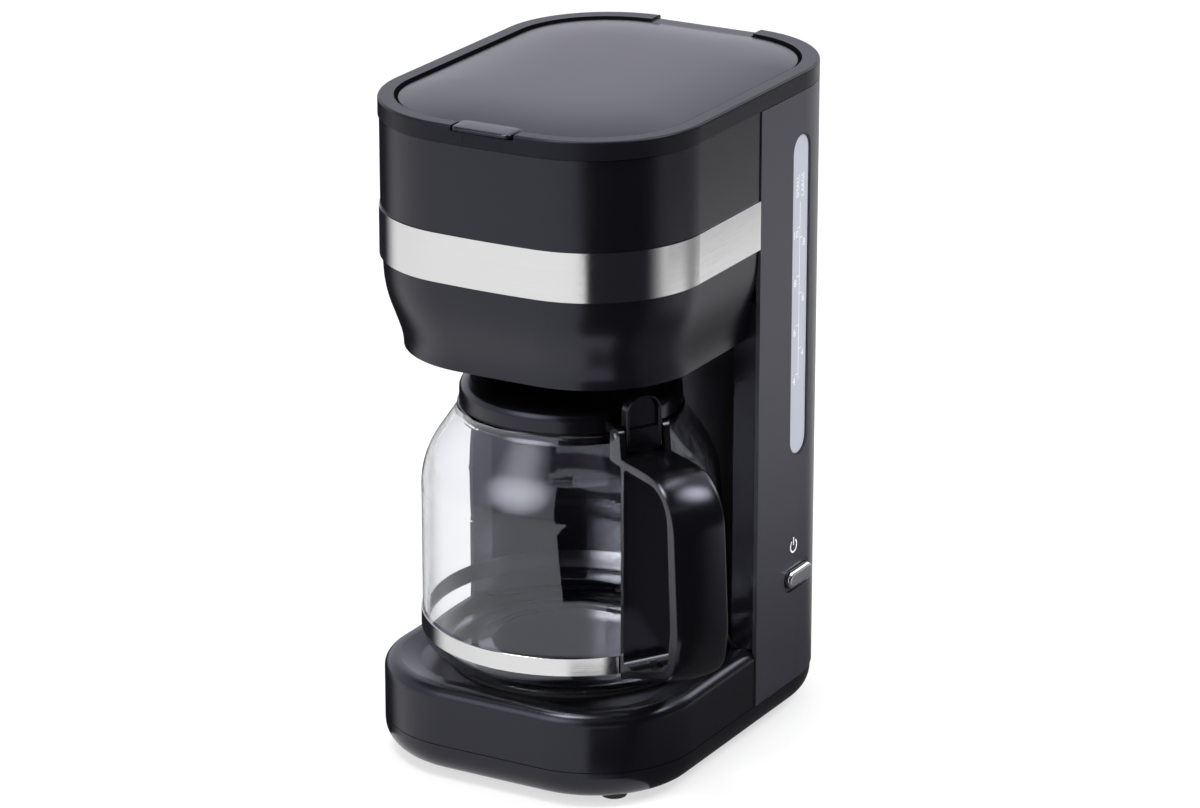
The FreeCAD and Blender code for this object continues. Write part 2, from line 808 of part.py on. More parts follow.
def make_hose(x):
    """Silicone hose from the heater's barb down, back under the column and up to the pipe below the tank."""
    start = Vec(x, barb_y, tube_z - tube_r - touch_gap)
    end = Vec(x, pipe_y, shelf_z - touch_gap)
    bend = hose_bend_r
    slack = bend * (1 - math.sqrt(0.5))
    front, back = Vec(x, barb_y, hose_run_z), Vec(x, pipe_y, hose_run_z)
    down, out = front + Vec(0, 0, bend), front + Vec(0, bend, 0)
    into, rise = back - Vec(0, bend, 0), back + Vec(0, 0, bend)
    path = Part.Wire([
        line(start, down),
        arc(down, front + Vec(0, slack, slack), out),
        line(out, into),
        arc(into, back + Vec(0, -slack, slack), rise),
        line(rise, end),
    ])

    def swept(r):
        section = Part.Wire(Part.makeCircle(r, start, UP))
        return path.makePipeShell([section], True, False)

    return swept(hose_r).cut(swept(hose_bore_r))


# Jug stand and heater

def make_hot_plate():
    flange_z = dish_z + seal_thickness
    step = plate_r - plate_flange
    profile = [(0, plate_under_z), (step, plate_under_z), (step, flange_z), (plate_r, flange_z),
               (plate_r, flange_z + plate_thickness), (step + plate_slope, plate_top_z), (0, plate_top_z)]
    plate = turned(profile, [0, 0, 0, 0, plate_thickness / 2, plate_edge_r, 0])
    return moved(plate, jug_axis)


def make_plate_seal():
    inner, outer, top = plate_r - plate_lap + seat_gap, plate_r + seal_lip, dish_z + seal_thickness
    ring = turned([(inner, dish_z), (outer, dish_z), (outer, top), (inner, top)])
    return moved(ring, jug_axis)


def horseshoe(ring_r, r, leg):
    """Half ring open to the back with two straight legs, all of one round section."""
    circle = Part.Face(Part.Wire(Part.makeCircle(r, Vec(-ring_r, jug_y, tube_z), Vec(0, 1, 0))))
    bend = circle.revolve(jug_axis, UP, 180)
    legs = [rod(r, Vec(x, jug_y, tube_z), leg, Vec(0, 1, 0)) for x in (-ring_r, ring_r)]
    return bend.fuse(legs)


def make_heater_tube():
    web_top = plate_under_z - seat_gap
    ring = jug_disc(rod_ring_r, web_top - heater_web, web_top).cut(jug_disc(tube_ring_r, 0, big))
    web = ring.common(half_space(jug_y, True))
    strips = [box(a, b, jug_y, jug_y + leg_length, web_top - heater_web, web_top)
              for a, b in ((-rod_ring_r, -tube_ring_r), (tube_ring_r, rod_ring_r))]
    tube, element = horseshoe(tube_ring_r, tube_r, leg_length), horseshoe(rod_ring_r, rod_r, leg_length)
    heater = tube.fuse([element, web] + strips)
    feet = [Vec(x, barb_y, barb_low_z) for x in (-tube_ring_r, tube_ring_r)]
    heater = heater.fuse([rod(pipe_r, foot, tube_z - barb_low_z) for foot in feet])
    heater = heater.cut(horseshoe(tube_ring_r, pipe_bore_r, leg_length - tube_r))
    for foot in feet:
        heater = heater.cut(rod(pipe_bore_r, foot - UP, tube_z - barb_low_z + 1))
    return heater.removeSplitter()


clamp_top_z = tube_z - tube_r - seat_gap


def make_heater_clamp():
    half = rod_ring_r + rod_r + clamp_overhang
    y0, y1 = jug_y - clamp_width / 2, jug_y + clamp_width / 2
    strap = box(-half, half, y0, y1, clamp_top_z - clamp_thickness, clamp_top_z)
    strap = filleted(strap, clamp_corner_r, lambda e: e.BoundBox.XLength + e.BoundBox.YLength < past)
    return strap.cut(jug_disc(bolt_r + seat_gap, 0, big))


def make_clamp_bolt():
    under = clamp_top_z - clamp_thickness - seat_gap
    turns = [k * math.pi / 3 for k in range(6)]
    corners = [jug_axis + Vec(nut_r * math.cos(a), nut_r * math.sin(a), under - nut_h) for a in turns]
    nut = rounded_face(corners, [0] * 6).extrude(Vec(0, 0, nut_h))
    stud_top = plate_under_z - seat_gap
    return nut.fuse(jug_disc(bolt_r, under - nut_h - bolt_end, stud_top)).removeSplitter()


def make_thermostat():
    spot = Vec(0, jug_y - (tube_ring_r + rod_ring_r) / 2, 0)
    top = tube_z - tube_r - seat_gap
    low, rim_z, cap_r = top - thermostat_h, top - thermostat_rim_h, thermostat_r - thermostat_rim
    profile = [(0, low), (cap_r, low), (cap_r, rim_z), (thermostat_r, rim_z), (thermostat_r, top), (0, top)]
    body = turned(profile)
    half, t, out = blade_width / 2, blade_thickness / 2, blade_spacing / 2
    blades = [box(x - half, x + half, -t, t, low - blade_length, low) for x in (-out, out)]
    return moved(body.fuse(blades), spot)


def make_thermal_fuse():
    z = tube_z - rod_r - seat_gap - fuse_r
    y0 = jug_y + clamp_width / 2 + fuse_lead
    body = rod(fuse_r, Vec(rod_ring_r, y0, z), fuse_length, Vec(0, 1, 0))
    lead_y = y0 - fuse_lead + past
    lead = rod(fuse_lead_r, Vec(rod_ring_r, lead_y, z), fuse_length + 3 * fuse_lead, Vec(0, 1, 0))
    return body.fuse(lead).removeSplitter()


# Switch and gland

def make_power_button():
    cap = pill(button_length, button_height, button_proud + wall)
    cap = filleted(cap, button_edge_r, lambda e: abs(e.BoundBox.XMin) < 1e-4 and abs(e.BoundBox.XMax) < 1e-4)
    shank = pill(button_shank_length, button_shank_height, button_shank_depth)
    shank = moved(shank, Vec(-button_proud - wall, 0, 0))
    return moved(cap.fuse(shank).removeSplitter(), Vec(half_width + button_proud, button_y, button_z))


def make_switch_body():
    face_x = half_width - wall - switch_setback
    dy, dz = button_length / 2 + switch_margin, button_height / 2 + switch_margin
    body = box(face_x - switch_depth, face_x, button_y - dy, button_y + dy, button_z - dz, button_z + dz)
    body = filleted(body, switch_corner_r, lambda e: e.BoundBox.XLength > switch_depth / 2)
    well = pill(button_length + 2 * button_gap, button_height + 2 * button_gap, button_travel + button_gap)
    guide = pill(button_shank_length + 2 * button_gap, button_shank_height + 2 * button_gap,
                 button_travel + button_gap + button_shank_depth)
    body = body.cut(moved(well.fuse(guide), Vec(face_x, button_y, button_z)))
    back_x, half, t = face_x - switch_depth, switch_blade_width / 2, blade_thickness / 2
    for y in (button_y - switch_blade_spacing / 2, button_y + switch_blade_spacing / 2):
        blade = box(back_x - switch_blade_length, back_x, y - half, y + half, button_z - t, button_z + t)
        body = body.fuse(blade)
    return body


def make_cord_gland():
    inner_end, lip_r = -gland_depth, gland_r + gland_lip
    lip_outer = -wall - seat_gap
    lip_inner = lip_outer - gland_lip_t
    profile = [(gland_bore_r, inner_end), (gland_r, inner_end), (gland_r, lip_inner), (lip_r, lip_inner),
               (lip_r, lip_outer), (gland_r, lip_outer), (gland_r, seat_gap), (gland_flange_r, seat_gap),
               (gland_flange_r - gland_bevel, gland_flange_t), (gland_bore_r, gland_flange_t)]
    gland = turned(profile)
    gland.rotate(Vec(0, 0, 0), Vec(1, 0, 0), -90)
    return moved(gland, Vec(gland_x, rear_reach, gland_z))


# Filter basket

basket_floor_z = head_floor_z + floor_thickness + touch_gap


def make_filter_basket():
    low, top = basket_floor_z, basket_top_z
    wide, narrow, t = basket_r, basket_low_r, basket_wall
    tip, side_low, under_flange = low - nozzle_length, low + basket_floor_rise, top - basket_flange_t
    edge, bend = basket_edge_r, basket_low_round
    flange_r = wide + basket_flange
    profile = [(nozzle_bore_r, tip), (nozzle_r, tip), (nozzle_r, low), (narrow, side_low),
               (wide, under_flange), (flange_r, under_flange), (flange_r, top), (wide - t, top),
               (narrow - t, side_low + t), (nozzle_r, low + t), (nozzle_bore_r, low + t)]
    basket = turned(profile, [0, edge, 0, bend, 0, edge, edge, 0, bend - t, 0, 0])
    slope = (wide - narrow) / (under_flange - side_low)
    rib_low, rib_top = side_low + t, top - basket_rib_drop
    low_r, top_r = narrow - t, wide - t - slope * basket_rib_drop
    rib = rounded_face([
        Vec(low_r - basket_rib_depth, 0, rib_low), Vec(low_r + past, 0, rib_low),
        Vec(top_r + past, 0, rib_top), Vec(top_r - basket_rib_depth, 0, rib_top - basket_rib_slope)], [0] * 4)
    rib = moved(rib.extrude(Vec(0, basket_rib_width, 0)), Vec(0, -basket_rib_width / 2, 0))
    for i in range(basket_rib_count):
        copy = rib.copy()
        copy.rotate(Vec(0, 0, 0), UP, 360 * i / basket_rib_count)
        basket = basket.fuse(copy)
    half, half_t = basket_tab_width / 2, basket_tab_t / 2

    def upper_corner(edge):
        return edge.BoundBox.ZMin > top and edge.BoundBox.YLength < past

    for side in (-1, 1):
        x = side * (flange_r - half_t)
        tab = box(x - half_t, x + half_t, -half, half, top - past, top + basket_tab_height)
        basket = basket.fuse(filleted(tab, basket_tab_corner_r, upper_corner))
    return moved(basket.removeSplitter(), jug_axis)


def make_mesh_filter():
    low = basket_floor_z + basket_floor_rise + basket_wall + mesh_gap
    top = basket_top_z + touch_gap
    inset = basket_wall + basket_rib_depth + mesh_gap
    wide, narrow, t = basket_r - inset, basket_low_r - inset, mesh_wall
    lip_r, lip_z, edge = basket_r + mesh_lip, top + mesh_lip_t, mesh_lip_t / 4
    profile = [(0, low), (narrow, low), (wide, top), (lip_r, top), (lip_r, lip_z), (wide - t, lip_z),
               (narrow - t, low + t), (0, low + t)]
    cone = turned(profile, [0, mesh_low_round, 0, edge, edge, 0, mesh_low_round - t, 0])
    bar = box(-wide + t / 2, wide - t / 2, -mesh_bar_width / 2, mesh_bar_width / 2, top - mesh_bar_t, top)
    bar = filleted(bar, mesh_bar_edge_r, lambda e: e.BoundBox.XLength > wide)
    return moved(cone.fuse(bar).removeSplitter(), jug_axis)


# Jug

def glass_side(inset):
    """Corners of the glass from the bottom middle to the lip, offset inwards by the wall."""
    shift = inset * math.tan(math.radians(shoulder_turn / 2))
    cone = math.tan(math.radians(shoulder_turn))
    neck_z = shoulder_z + (glass_r - neck_r) / cone
    low = glass_bottom_z + inset
    kick = low + glass_kick
    kick_in, kick_out = glass_kick_r - glass_kick_run / 2, glass_kick_r + glass_kick_run / 2
    wide, narrow = glass_r - inset, neck_r - inset
    return [(0, kick), (kick_in, kick), (kick_out, low), (wide, low), (wide, shoulder_z - shift),
            (narrow, neck_z - shift), (narrow, neck_top_z)]


def make_carafe_glass():
    outer = glass_side(0.0)
    inner = glass_side(glass_wall)
    kick, lip = glass_kick_round, glass_lip_r
    radii_out = [0, kick, kick, glass_bottom_round, shoulder_round, neck_round, lip]
    radii_in = [0, kick, kick, glass_bottom_round - glass_wall, shoulder_round - glass_wall, neck_round, lip]
    return turned(outer + inner[::-1], radii_out + radii_in[::-1])


def make_carafe_band():
    inner, outer = glass_r + seat_gap, glass_r + seat_gap + jug_band_t
    z0, z1 = jug_band_z, jug_band_z + jug_band_height
    edge = jug_band_edge_r
    return turned([(inner, z0), (outer, z0), (outer, z1), (inner, z1)], [0, edge, edge, 0])


def side_points(pairs):
    return [Vec(r, 0, z) for r, z in pairs]


def across(face, width):
    """Extrude a side profile of the handle evenly to both sides."""
    return moved(face, Vec(0, -width / 2, 0)).extrude(Vec(0, width, 0))


handle_in = glass_r + handle_gap
handle_screw_z = jug_band_z + jug_band_height / 2


def offset_corner(a, b, c, inset):
    """Corner b of a polygon after both of its edges move inwards (to the left of travel)."""
    def normal(p, q):
        d = Vec(q[0] - p[0], q[1] - p[1], 0).normalize()
        return Vec(-d.y, d.x, 0)

    n1, n2 = normal(a, b), normal(b, c)
    scale = inset / (1 + n1.dot(n2))
    return b[0] + (n1.x + n2.x) * scale, b[1] + (n1.y + n2.y) * scale


def handle_outline(inset):
    top = handle_top_out[1]
    corners = [(handle_in, handle_low_z), handle_low_out, handle_out, handle_top_out, (arm_inner_r, top)]
    moved_in = [offset_corner(corners[i - 1], corners[i], corners[i + 1], inset) for i in (1, 2, 3)]
    low_end = (handle_in, handle_low_z + inset)
    points = [low_end] + moved_in + [(handle_in, top - inset)]
    return rounded_face(side_points(points), [0] + [r - inset for r in handle_radii] + [0])


def grip_hole():
    spine = handle_in + spine_thickness
    low, top = grip_low_in[1], grip_top_out[1]
    corners = [(spine, low), grip_low_in, grip_low_out, grip_out, grip_top_out, (spine, top)]
    return across(rounded_face(side_points(corners), list(grip_radii)), 2 * handle_width)


def make_handle_frame():
    frame = across(handle_outline(cover_strip + seat_gap), handle_width)
    arm_top = handle_top_out[1] - cover_strip - seat_gap
    half = handle_width / 2
    arm = box(arm_inner_r, handle_in + past, -half, half, grip_top_out[1], arm_top)
    frame = frame.fuse(arm).cut(grip_hole())
    ear_low, ear_top = arm_top - past, jug_hinge_z + ear_r
    ear_in, ear_out = jug_hinge_r - ear_r, jug_hinge_r + ear_r
    ear_corners = [(ear_in, ear_low), (ear_out + ear_foot, ear_low), (ear_out, ear_top), (ear_in, ear_top)]
    ear = rounded_face(side_points(ear_corners), [0, 0, ear_round, ear_round])
    for y in (-half, half - ear_thickness):
        frame = frame.fuse(moved(ear, Vec(0, y, 0)).extrude(Vec(0, ear_thickness, 0)))
    pin_hole = rod(jug_pin_r + pin_gap, Vec(jug_hinge_r, -half - past, jug_hinge_z), handle_width + 2 * past,
                   Vec(0, 1, 0))
    shank_hole = rod(handle_screw_r + seat_gap, Vec(handle_in - past, 0, handle_screw_z),
                     handle_screw_length + 2 * past, Vec(1, 0, 0))
    head_hole = rod(handle_screw_head_r + seat_gap, Vec(handle_in + handle_screw_length, 0, handle_screw_z),
                    handle_width, Vec(1, 0, 0))
    return frame.cut(pin_hole).cut(shank_hole).cut(head_hole).removeSplitter()


def make_handle_cover():
    inside = across(handle_outline(cover_strip), 2 * handle_width)
    strip = across(handle_outline(0.0), handle_width).cut(inside)
    strip = strip.cut(box(0, handle_in + cover_setback, -handle_width, handle_width, 0, big))
    middle_line = handle_outline(cover_strip / 2)

    def runs_along_outside(edge):
        middle = edge.valueAt((edge.FirstParameter + edge.LastParameter) / 2)
        along = edge.BoundBox.YLength < 1e-4 and abs(abs(middle.y) - handle_width / 2) < 1e-4
        return along and not middle_line.isInside(Vec(middle.x, 0, middle.z), 1e-3, True)

    return filleted(strip, handle_edge_r, runs_along_outside)


def make_handle_screw():
    start, seat = glass_r + seat_gap + jug_band_t + seat_gap, handle_in + handle_screw_length
    shank = rod(handle_screw_r, Vec(start, 0, handle_screw_z), seat - start, Vec(1, 0, 0))
    head = rod(handle_screw_head_r, Vec(seat, 0, handle_screw_z), handle_screw_head_h, Vec(1, 0, 0))
    return shank.fuse(head).removeSplitter()


def lever_arch(inset, low_z, back, front):
    """Upright slab with a round top, standing across the handle."""
    a = lever_half_width - inset
    arch_z = lever_top_z - lever_half_width
    feet = [Vec(back, -a, low_z), Vec(back, a, low_z)]
    ends = [Vec(back, a, arch_z), Vec(back, -a, arch_z)]
    outline = [
        line(*feet),
        line(feet[1], ends[0]),
        arc(ends[0], Vec(back, 0, arch_z + a), ends[1]),
        line(ends[1], feet[0]),
    ]
    return Part.Face(Part.Wire(outline)).extrude(Vec(front - back, 0, 0))


def make_carafe_lid():
    low, plug_low = neck_top_z + touch_gap, neck_top_z + touch_gap - jug_lid_plug
    top, dish, t = jug_lid_top_z, jug_lid_dish_z, jug_lid_wall
    plug = neck_r - glass_wall - jug_lid_plug_gap
    floor_r, crest_r = jug_lid_dish_r, jug_lid_dish_r + jug_lid_dish_run
    profile = [(jug_inlet_r, dish - t), (floor_r + t, dish - t), (crest_r + t, top - t), (plug - t, top - t),
               (plug - t, plug_low), (plug, plug_low), (plug, low), (jug_lid_r, low), (jug_lid_r, top),
               (crest_r, top), (floor_r, dish), (jug_inlet_r, dish)]
    edge = jug_lid_edge_r
    radii = [0, 0, 0, edge, 0, edge, 0, edge, jug_lid_round, jug_lid_crest_round, jug_lid_dish_round, edge]
    lid = turned(profile, radii)
    half = handle_width / 2 - ear_thickness - touch_gap
    barrel = rod(jug_barrel_r, Vec(jug_hinge_r, -half, jug_hinge_z), 2 * half, Vec(0, 1, 0))
    bridge_half = jug_barrel_r - past
    bridge = box(jug_lid_r - bridge_lap, jug_hinge_r, -half, half,
                 jug_hinge_z - bridge_half, jug_hinge_z + bridge_half)
    back, front = jug_hinge_r - lever_back, jug_hinge_r + lever_front
    lever = lever_arch(0.0, jug_hinge_z - lever_drop, back, front)
    recess = lever_arch(lever_rim, jug_hinge_z + jug_barrel_r, front - lever_dip, front + past)
    lid = lid.fuse([bridge, barrel, lever.cut(recess)])
    end = Vec(jug_hinge_r, -half - past, jug_hinge_z)
    return lid.cut(rod(jug_pin_r + pin_gap, end, 2 * (half + past), Vec(0, 1, 0))).removeSplitter()


def make_carafe_lid_pin():
    half = handle_width / 2 - jug_pin_setback
    return rod(jug_pin_r, Vec(jug_hinge_r, -half, jug_hinge_z), 2 * half, Vec(0, 1, 0))


def on_jug(shape):
    """Turn a jug piece to where its handle points and stand it on the jug axis."""
    copy = shape.copy()
    copy.rotate(Vec(0, 0, 0), UP, handle_turn)
    copy.translate(jug_axis)
    return copy


pieces = {
    "base_shell": make_base_shell,
    "bottom_cover": make_bottom_cover,
    "feet": make_feet,
    "bottom_screws": make_bottom_screws,
    "column_front": make_column_front,
    "head_shell": make_head_shell,
    "steel_band": make_steel_band,
    "rear_housing": make_rear_housing,
    "top_rim": make_top_rim,
    "lid": make_lid,
    "lid_liner": make_lid_liner,
    "lid_hinge_pin": make_lid_hinge_pin,
    "water_tank": make_water_tank,
    "level_window": make_level_window,
    "riser_tube": make_riser_tube,
    "check_valve": make_check_valve,
    "riser_hose": lambda: make_hose(-pipe_x),
    "inlet_hose": lambda: make_hose(pipe_x),
    "hot_plate": make_hot_plate,
    "plate_seal": make_plate_seal,
    "heater_tube": make_heater_tube,
    "heater_clamp": make_heater_clamp,
    "clamp_bolt": make_clamp_bolt,
    "thermostat": make_thermostat,
    "thermal_fuse": make_thermal_fuse,
    "power_button": make_power_button,
    "switch_body": make_switch_body,
    "cord_gland": make_cord_gland,
    "filter_basket": make_filter_basket,
    "mesh_filter": make_mesh_filter,
}
jug_pieces = {
    "carafe_glass": make_carafe_glass,
    "carafe_band": make_carafe_band,
    "handle_frame": make_handle_frame,
    "handle_cover": make_handle_cover,
    "handle_screw": make_handle_screw,
    "carafe_lid": make_carafe_lid,
    "carafe_lid_pin": make_carafe_lid_pin,
}

os.makedirs("parts", exist_ok=True)
for name, make in pieces.items():
    make().exportStep(f"parts/{name}.step")
for name, make in jug_pieces.items():
    on_jug(make()).exportStep(f"parts/{name}.step")
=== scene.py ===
import json
import math

import bmesh
import bpy
import numpy as np
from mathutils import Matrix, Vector


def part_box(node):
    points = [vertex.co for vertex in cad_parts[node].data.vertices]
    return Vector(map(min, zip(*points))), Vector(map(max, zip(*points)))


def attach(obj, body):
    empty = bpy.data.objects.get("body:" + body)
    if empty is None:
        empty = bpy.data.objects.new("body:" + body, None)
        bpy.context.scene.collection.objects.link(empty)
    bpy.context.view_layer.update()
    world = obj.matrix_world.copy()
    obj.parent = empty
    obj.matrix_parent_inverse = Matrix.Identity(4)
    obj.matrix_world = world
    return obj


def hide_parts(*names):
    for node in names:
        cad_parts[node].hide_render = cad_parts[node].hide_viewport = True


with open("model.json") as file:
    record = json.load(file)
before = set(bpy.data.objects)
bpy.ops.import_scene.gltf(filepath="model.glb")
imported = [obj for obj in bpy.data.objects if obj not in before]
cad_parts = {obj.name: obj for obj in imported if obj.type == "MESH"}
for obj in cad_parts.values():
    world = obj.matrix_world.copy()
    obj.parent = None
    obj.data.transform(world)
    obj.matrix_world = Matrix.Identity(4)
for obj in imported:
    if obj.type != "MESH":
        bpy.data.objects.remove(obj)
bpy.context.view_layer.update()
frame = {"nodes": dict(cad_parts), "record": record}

mm = 0.001


def nodeBox(name):
    low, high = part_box(name)
    return np.array(low) / mm, np.array(high) / mm  # corners of a CAD node in millimetres


# Shader maths: an expression on wrapped sockets adds Math nodes

class Wire:
    def __init__(self, tree, socket):
        self.tree = tree
        self.socket = socket

    def combine(self, operation, first, second=0.0):
        return addNode(self.tree, "ShaderNodeMath", {"operation": operation}, {0: first, 1: second})

    def __add__(self, other):
        return self.combine("ADD", self, other)

    def __sub__(self, other):
        return self.combine("SUBTRACT", self, other)

    def __rsub__(self, other):
        return self.combine("SUBTRACT", other, self)

    def __mul__(self, other):
        return self.combine("MULTIPLY", self, other)

    def __truediv__(self, other):
        return self.combine("DIVIDE", self, other)

    def __pow__(self, other):
        return self.combine("POWER", self, other)

    def most(self, other):
        return self.combine("MAXIMUM", self, other)

    def least(self, other):
        return self.combine("MINIMUM", self, other)

    __radd__ = __add__
    __rmul__ = __mul__


def addNode(tree, kind, settings=None, links=None, out=0):
    node = tree.nodes.new(kind)
    for key, value in (settings or {}).items():
        if key == "stops":
            setStops(node.color_ramp, value)
        else:
            setattr(node, key, value)
    for key, value in (links or {}).items():
        if isinstance(value, Wire):
            tree.links.new(value.socket, node.inputs[key])
        else:
            node.inputs[key].default_value = value
    return Wire(tree, node.outputs[out]) if node.outputs else None


def setStops(ramp, stops):
    while len(ramp.elements) < len(stops):
        ramp.elements.new(1.0)
    for element, (place, colour) in zip(ramp.elements, stops):
        element.position = place
        element.color = colour


def newFinish(name):
    finish = bpy.data.materials.new(name)
    finish.use_nodes = True
    tree = finish.node_tree
    tree.nodes.clear()
    return finish, tree


def surface(tree, links):
    shader = addNode(tree, "ShaderNodeBsdfPrincipled", None, links)
    addNode(tree, "ShaderNodeOutputMaterial", None, {"Surface": shader})


def objectPlace(tree, scale=(1, 1, 1)):
    place = addNode(tree, "ShaderNodeTexCoord", None, None, "Object")
    return addNode(tree, "ShaderNodeMapping", {"vector_type": "POINT"}, {"Vector": place, "Scale": scale})


def objectParts(tree):
    # x, y and z of a place on the piece
    place = addNode(tree, "ShaderNodeTexCoord", None, None, "Object")
    return [addNode(tree, "ShaderNodeSeparateXYZ", None, {0: place}, axis) for axis in range(3)]


def noise(tree, place, scale, detail=2.0, roughness=0.5):
    return addNode(tree, "ShaderNodeTexNoise", None,
                   {"Vector": place, "Scale": scale, "Detail": detail, "Roughness": roughness})


def bump(tree, height, strength, distance):
    return addNode(tree, "ShaderNodeBump", None,
                   {"Height": height, "Strength": strength, "Distance": distance})


def ramp(tree, value, low, high):
    # smooth step from 0 at low to 1 at high
    return addNode(tree, "ShaderNodeMapRange", {"interpolation_type": "SMOOTHSTEP"},
                   {"Value": value, "From Min": low, "From Max": high, "To Min": 0.0, "To Max": 1.0})


def mixColour(tree, factor, first, second):
    return addNode(tree, "ShaderNodeMix", {"data_type": "RGBA"}, {0: factor, 6: first, 7: second}, 2)


def tone(colour, times=1.0):
    return (*[min(1.0, c * times) for c in colour], 1)


# Finishes

plasticLook = {"cloud": 14.0, "spark": 2600.0, "sparkRough": 0.04, "lighter": 1.25, "depth": 0.00006,
               "specular": (0.80, 0.80, 1.0, 1)}


def mouldedPlastic(name, colour, roughness, grain, spread=0.05, ior=1.44):
    # fine spark-eroded grain as bump, cloudy roughness, and a little lighter where the cloud is high
    look = plasticLook
    finish, tree = newFinish(name)
    place = objectPlace(tree)
    cloud = noise(tree, place, look["cloud"], detail=3.0)
    spark = noise(tree, place, look["spark"], roughness=0.7)
    surface(tree, {"Base Color": mixColour(tree, cloud, tone(colour), tone(colour, look["lighter"])),
                   "Roughness": roughness + spread * (cloud - 0.5) + look["sparkRough"] * (spark - 0.5),
                   "IOR": ior, "Specular Tint": look["specular"],
                   "Normal": bump(tree, spark, grain, look["depth"])})
    return finish


steelLook = {"fine": (12, 12, 5200), "broad": (5, 5, 900), "fineShare": 0.6, "darker": 0.9,
             "streakRough": 0.1, "depth": 0.00008}


def brushedSteel(name, colour, roughness, streak):
    # streaks that are long round the band and very fine in height
    look = steelLook
    finish, tree = newFinish(name)
    fine = noise(tree, objectPlace(tree, look["fine"]), 1.0, detail=3.0, roughness=0.6)
    broad = noise(tree, objectPlace(tree, look["broad"]), 1.0)
    streaks = look["fineShare"] * fine + (1 - look["fineShare"]) * broad
    surface(tree, {"Base Color": mixColour(tree, streaks, tone(colour, look["darker"]), tone(colour)),
                   "Metallic": 1.0, "Roughness": roughness + look["streakRough"] * (fine - 0.5),
                   "Normal": bump(tree, fine, streak, look["depth"])})
    return finish


metalLook = {"cloud": 60.0, "spread": 0.05}


def polishedMetal(name, colour, roughness):
    finish, tree = newFinish(name)
    cloud = noise(tree, objectPlace(tree), metalLook["cloud"], detail=3.0)
    surface(tree, {"Base Color": tone(colour), "Metallic": 1.0,
                   "Roughness": roughness + metalLook["spread"] * (cloud - 0.5)})
    return finish


glassLook = {"cloud": 22.0, "rough": 0.012, "ior": 1.47, "specular": (0.88, 0.89, 1.0, 1)}


def clearGlass(name, colour):
    look = glassLook
    finish, tree = newFinish(name)
    cloud = noise(tree, objectPlace(tree), look["cloud"])
    surface(tree, {"Base Color": tone(colour), "Roughness": look["rough"] * cloud, "IOR": look["ior"],
                   "Specular Tint": look["specular"], "Transmission Weight": 1.0})
    return finish


milkyLook = {"cloud": 35.0, "paler": 1.08, "spread": 0.06, "ior": 1.5}


def milkyPlastic(name, colour, roughness, through):
    look = milkyLook
    finish, tree = newFinish(name)
    cloud = noise(tree, objectPlace(tree), look["cloud"], detail=3.0)
    surface(tree, {"Base Color": mixColour(tree, cloud, tone(colour), tone(colour, look["paler"])),
                   "Roughness": roughness + look["spread"] * (cloud - 0.5), "IOR": look["ior"],
                   "Transmission Weight": through})
    return finish


rubberLook = {"speck": 1400.0, "lighter": 1.8, "rough": 0.72, "spread": 0.2, "grain": 0.25, "depth": 0.0001}


def softRubber(name, colour):
    look = rubberLook
    finish, tree = newFinish(name)
    speck = noise(tree, objectPlace(tree), look["speck"], detail=3.0, roughness=0.7)
    surface(tree, {"Base Color": mixColour(tree, speck, tone(colour), tone(colour, look["lighter"])),
                   "Roughness": look["rough"] + look["spread"] * (speck - 0.5),
                   "Normal": bump(tree, speck, look["grain"], look["depth"])})
    return finish


coatLook = {"speck": 900.0, "speckFrom": 0.66, "speckTo": 0.74, "speckShare": 0.12,
            "speckColour": (0.5, 0.5, 0.5), "peel": 420.0, "rough": 0.3, "peelRough": 0.1,
            "grain": 0.2, "depth": 0.0001}


def coatedPlate(name, colour):
    # dark non-stick coat with sparse pale specks
    look = coatLook
    finish, tree = newFinish(name)
    place = objectPlace(tree)
    stops = [(look["speckFrom"], (0, 0, 0, 1)), (look["speckTo"], (1, 1, 1, 1))]
    dust = noise(tree, place, look["speck"], detail=1.0)
    speck = addNode(tree, "ShaderNodeValToRGB", {"stops": stops}, {0: dust})
    peel = noise(tree, place, look["peel"])
    surface(tree, {"Base Color": mixColour(tree, look["speckShare"] * speck, tone(colour),
                                           tone(look["speckColour"])),
                   "Roughness": look["rough"] + look["peelRough"] * peel,
                   "Normal": bump(tree, peel, look["grain"], look["depth"])})
    return finish


meshLook = {"threadLine": -0.35, "hole": 0.35, "rough": 0.55}


def nylonMesh(name, colour, pitch):
    # square weave: two sine waves give the threads, and the holes between them are see-through
    look = meshLook
    finish, tree = newFinish(name)
    x, y, z = objectParts(tree)
    wave = 2 * math.pi / pitch
    weave = x.combine("SINE", (x + y) * wave).most(z.combine("SINE", z * wave))
    thread = weave.combine("GREATER_THAN", weave, look["threadLine"])
    surface(tree, {"Base Color": tone(colour), "Roughness": look["rough"],
                   "Alpha": look["hole"] + (1 - look["hole"]) * thread})
    return finish


inkLook = {"cloud": 900.0, "rough": 0.45, "spread": 0.2}


def printedInk(name, colour):
    finish, tree = newFinish(name)
    cloud = noise(tree, objectPlace(tree), inkLook["cloud"])
    surface(tree, {"Base Color": tone(colour),
                   "Roughness": inkLook["rough"] + inkLook["spread"] * (cloud - 0.5)})
    return finish


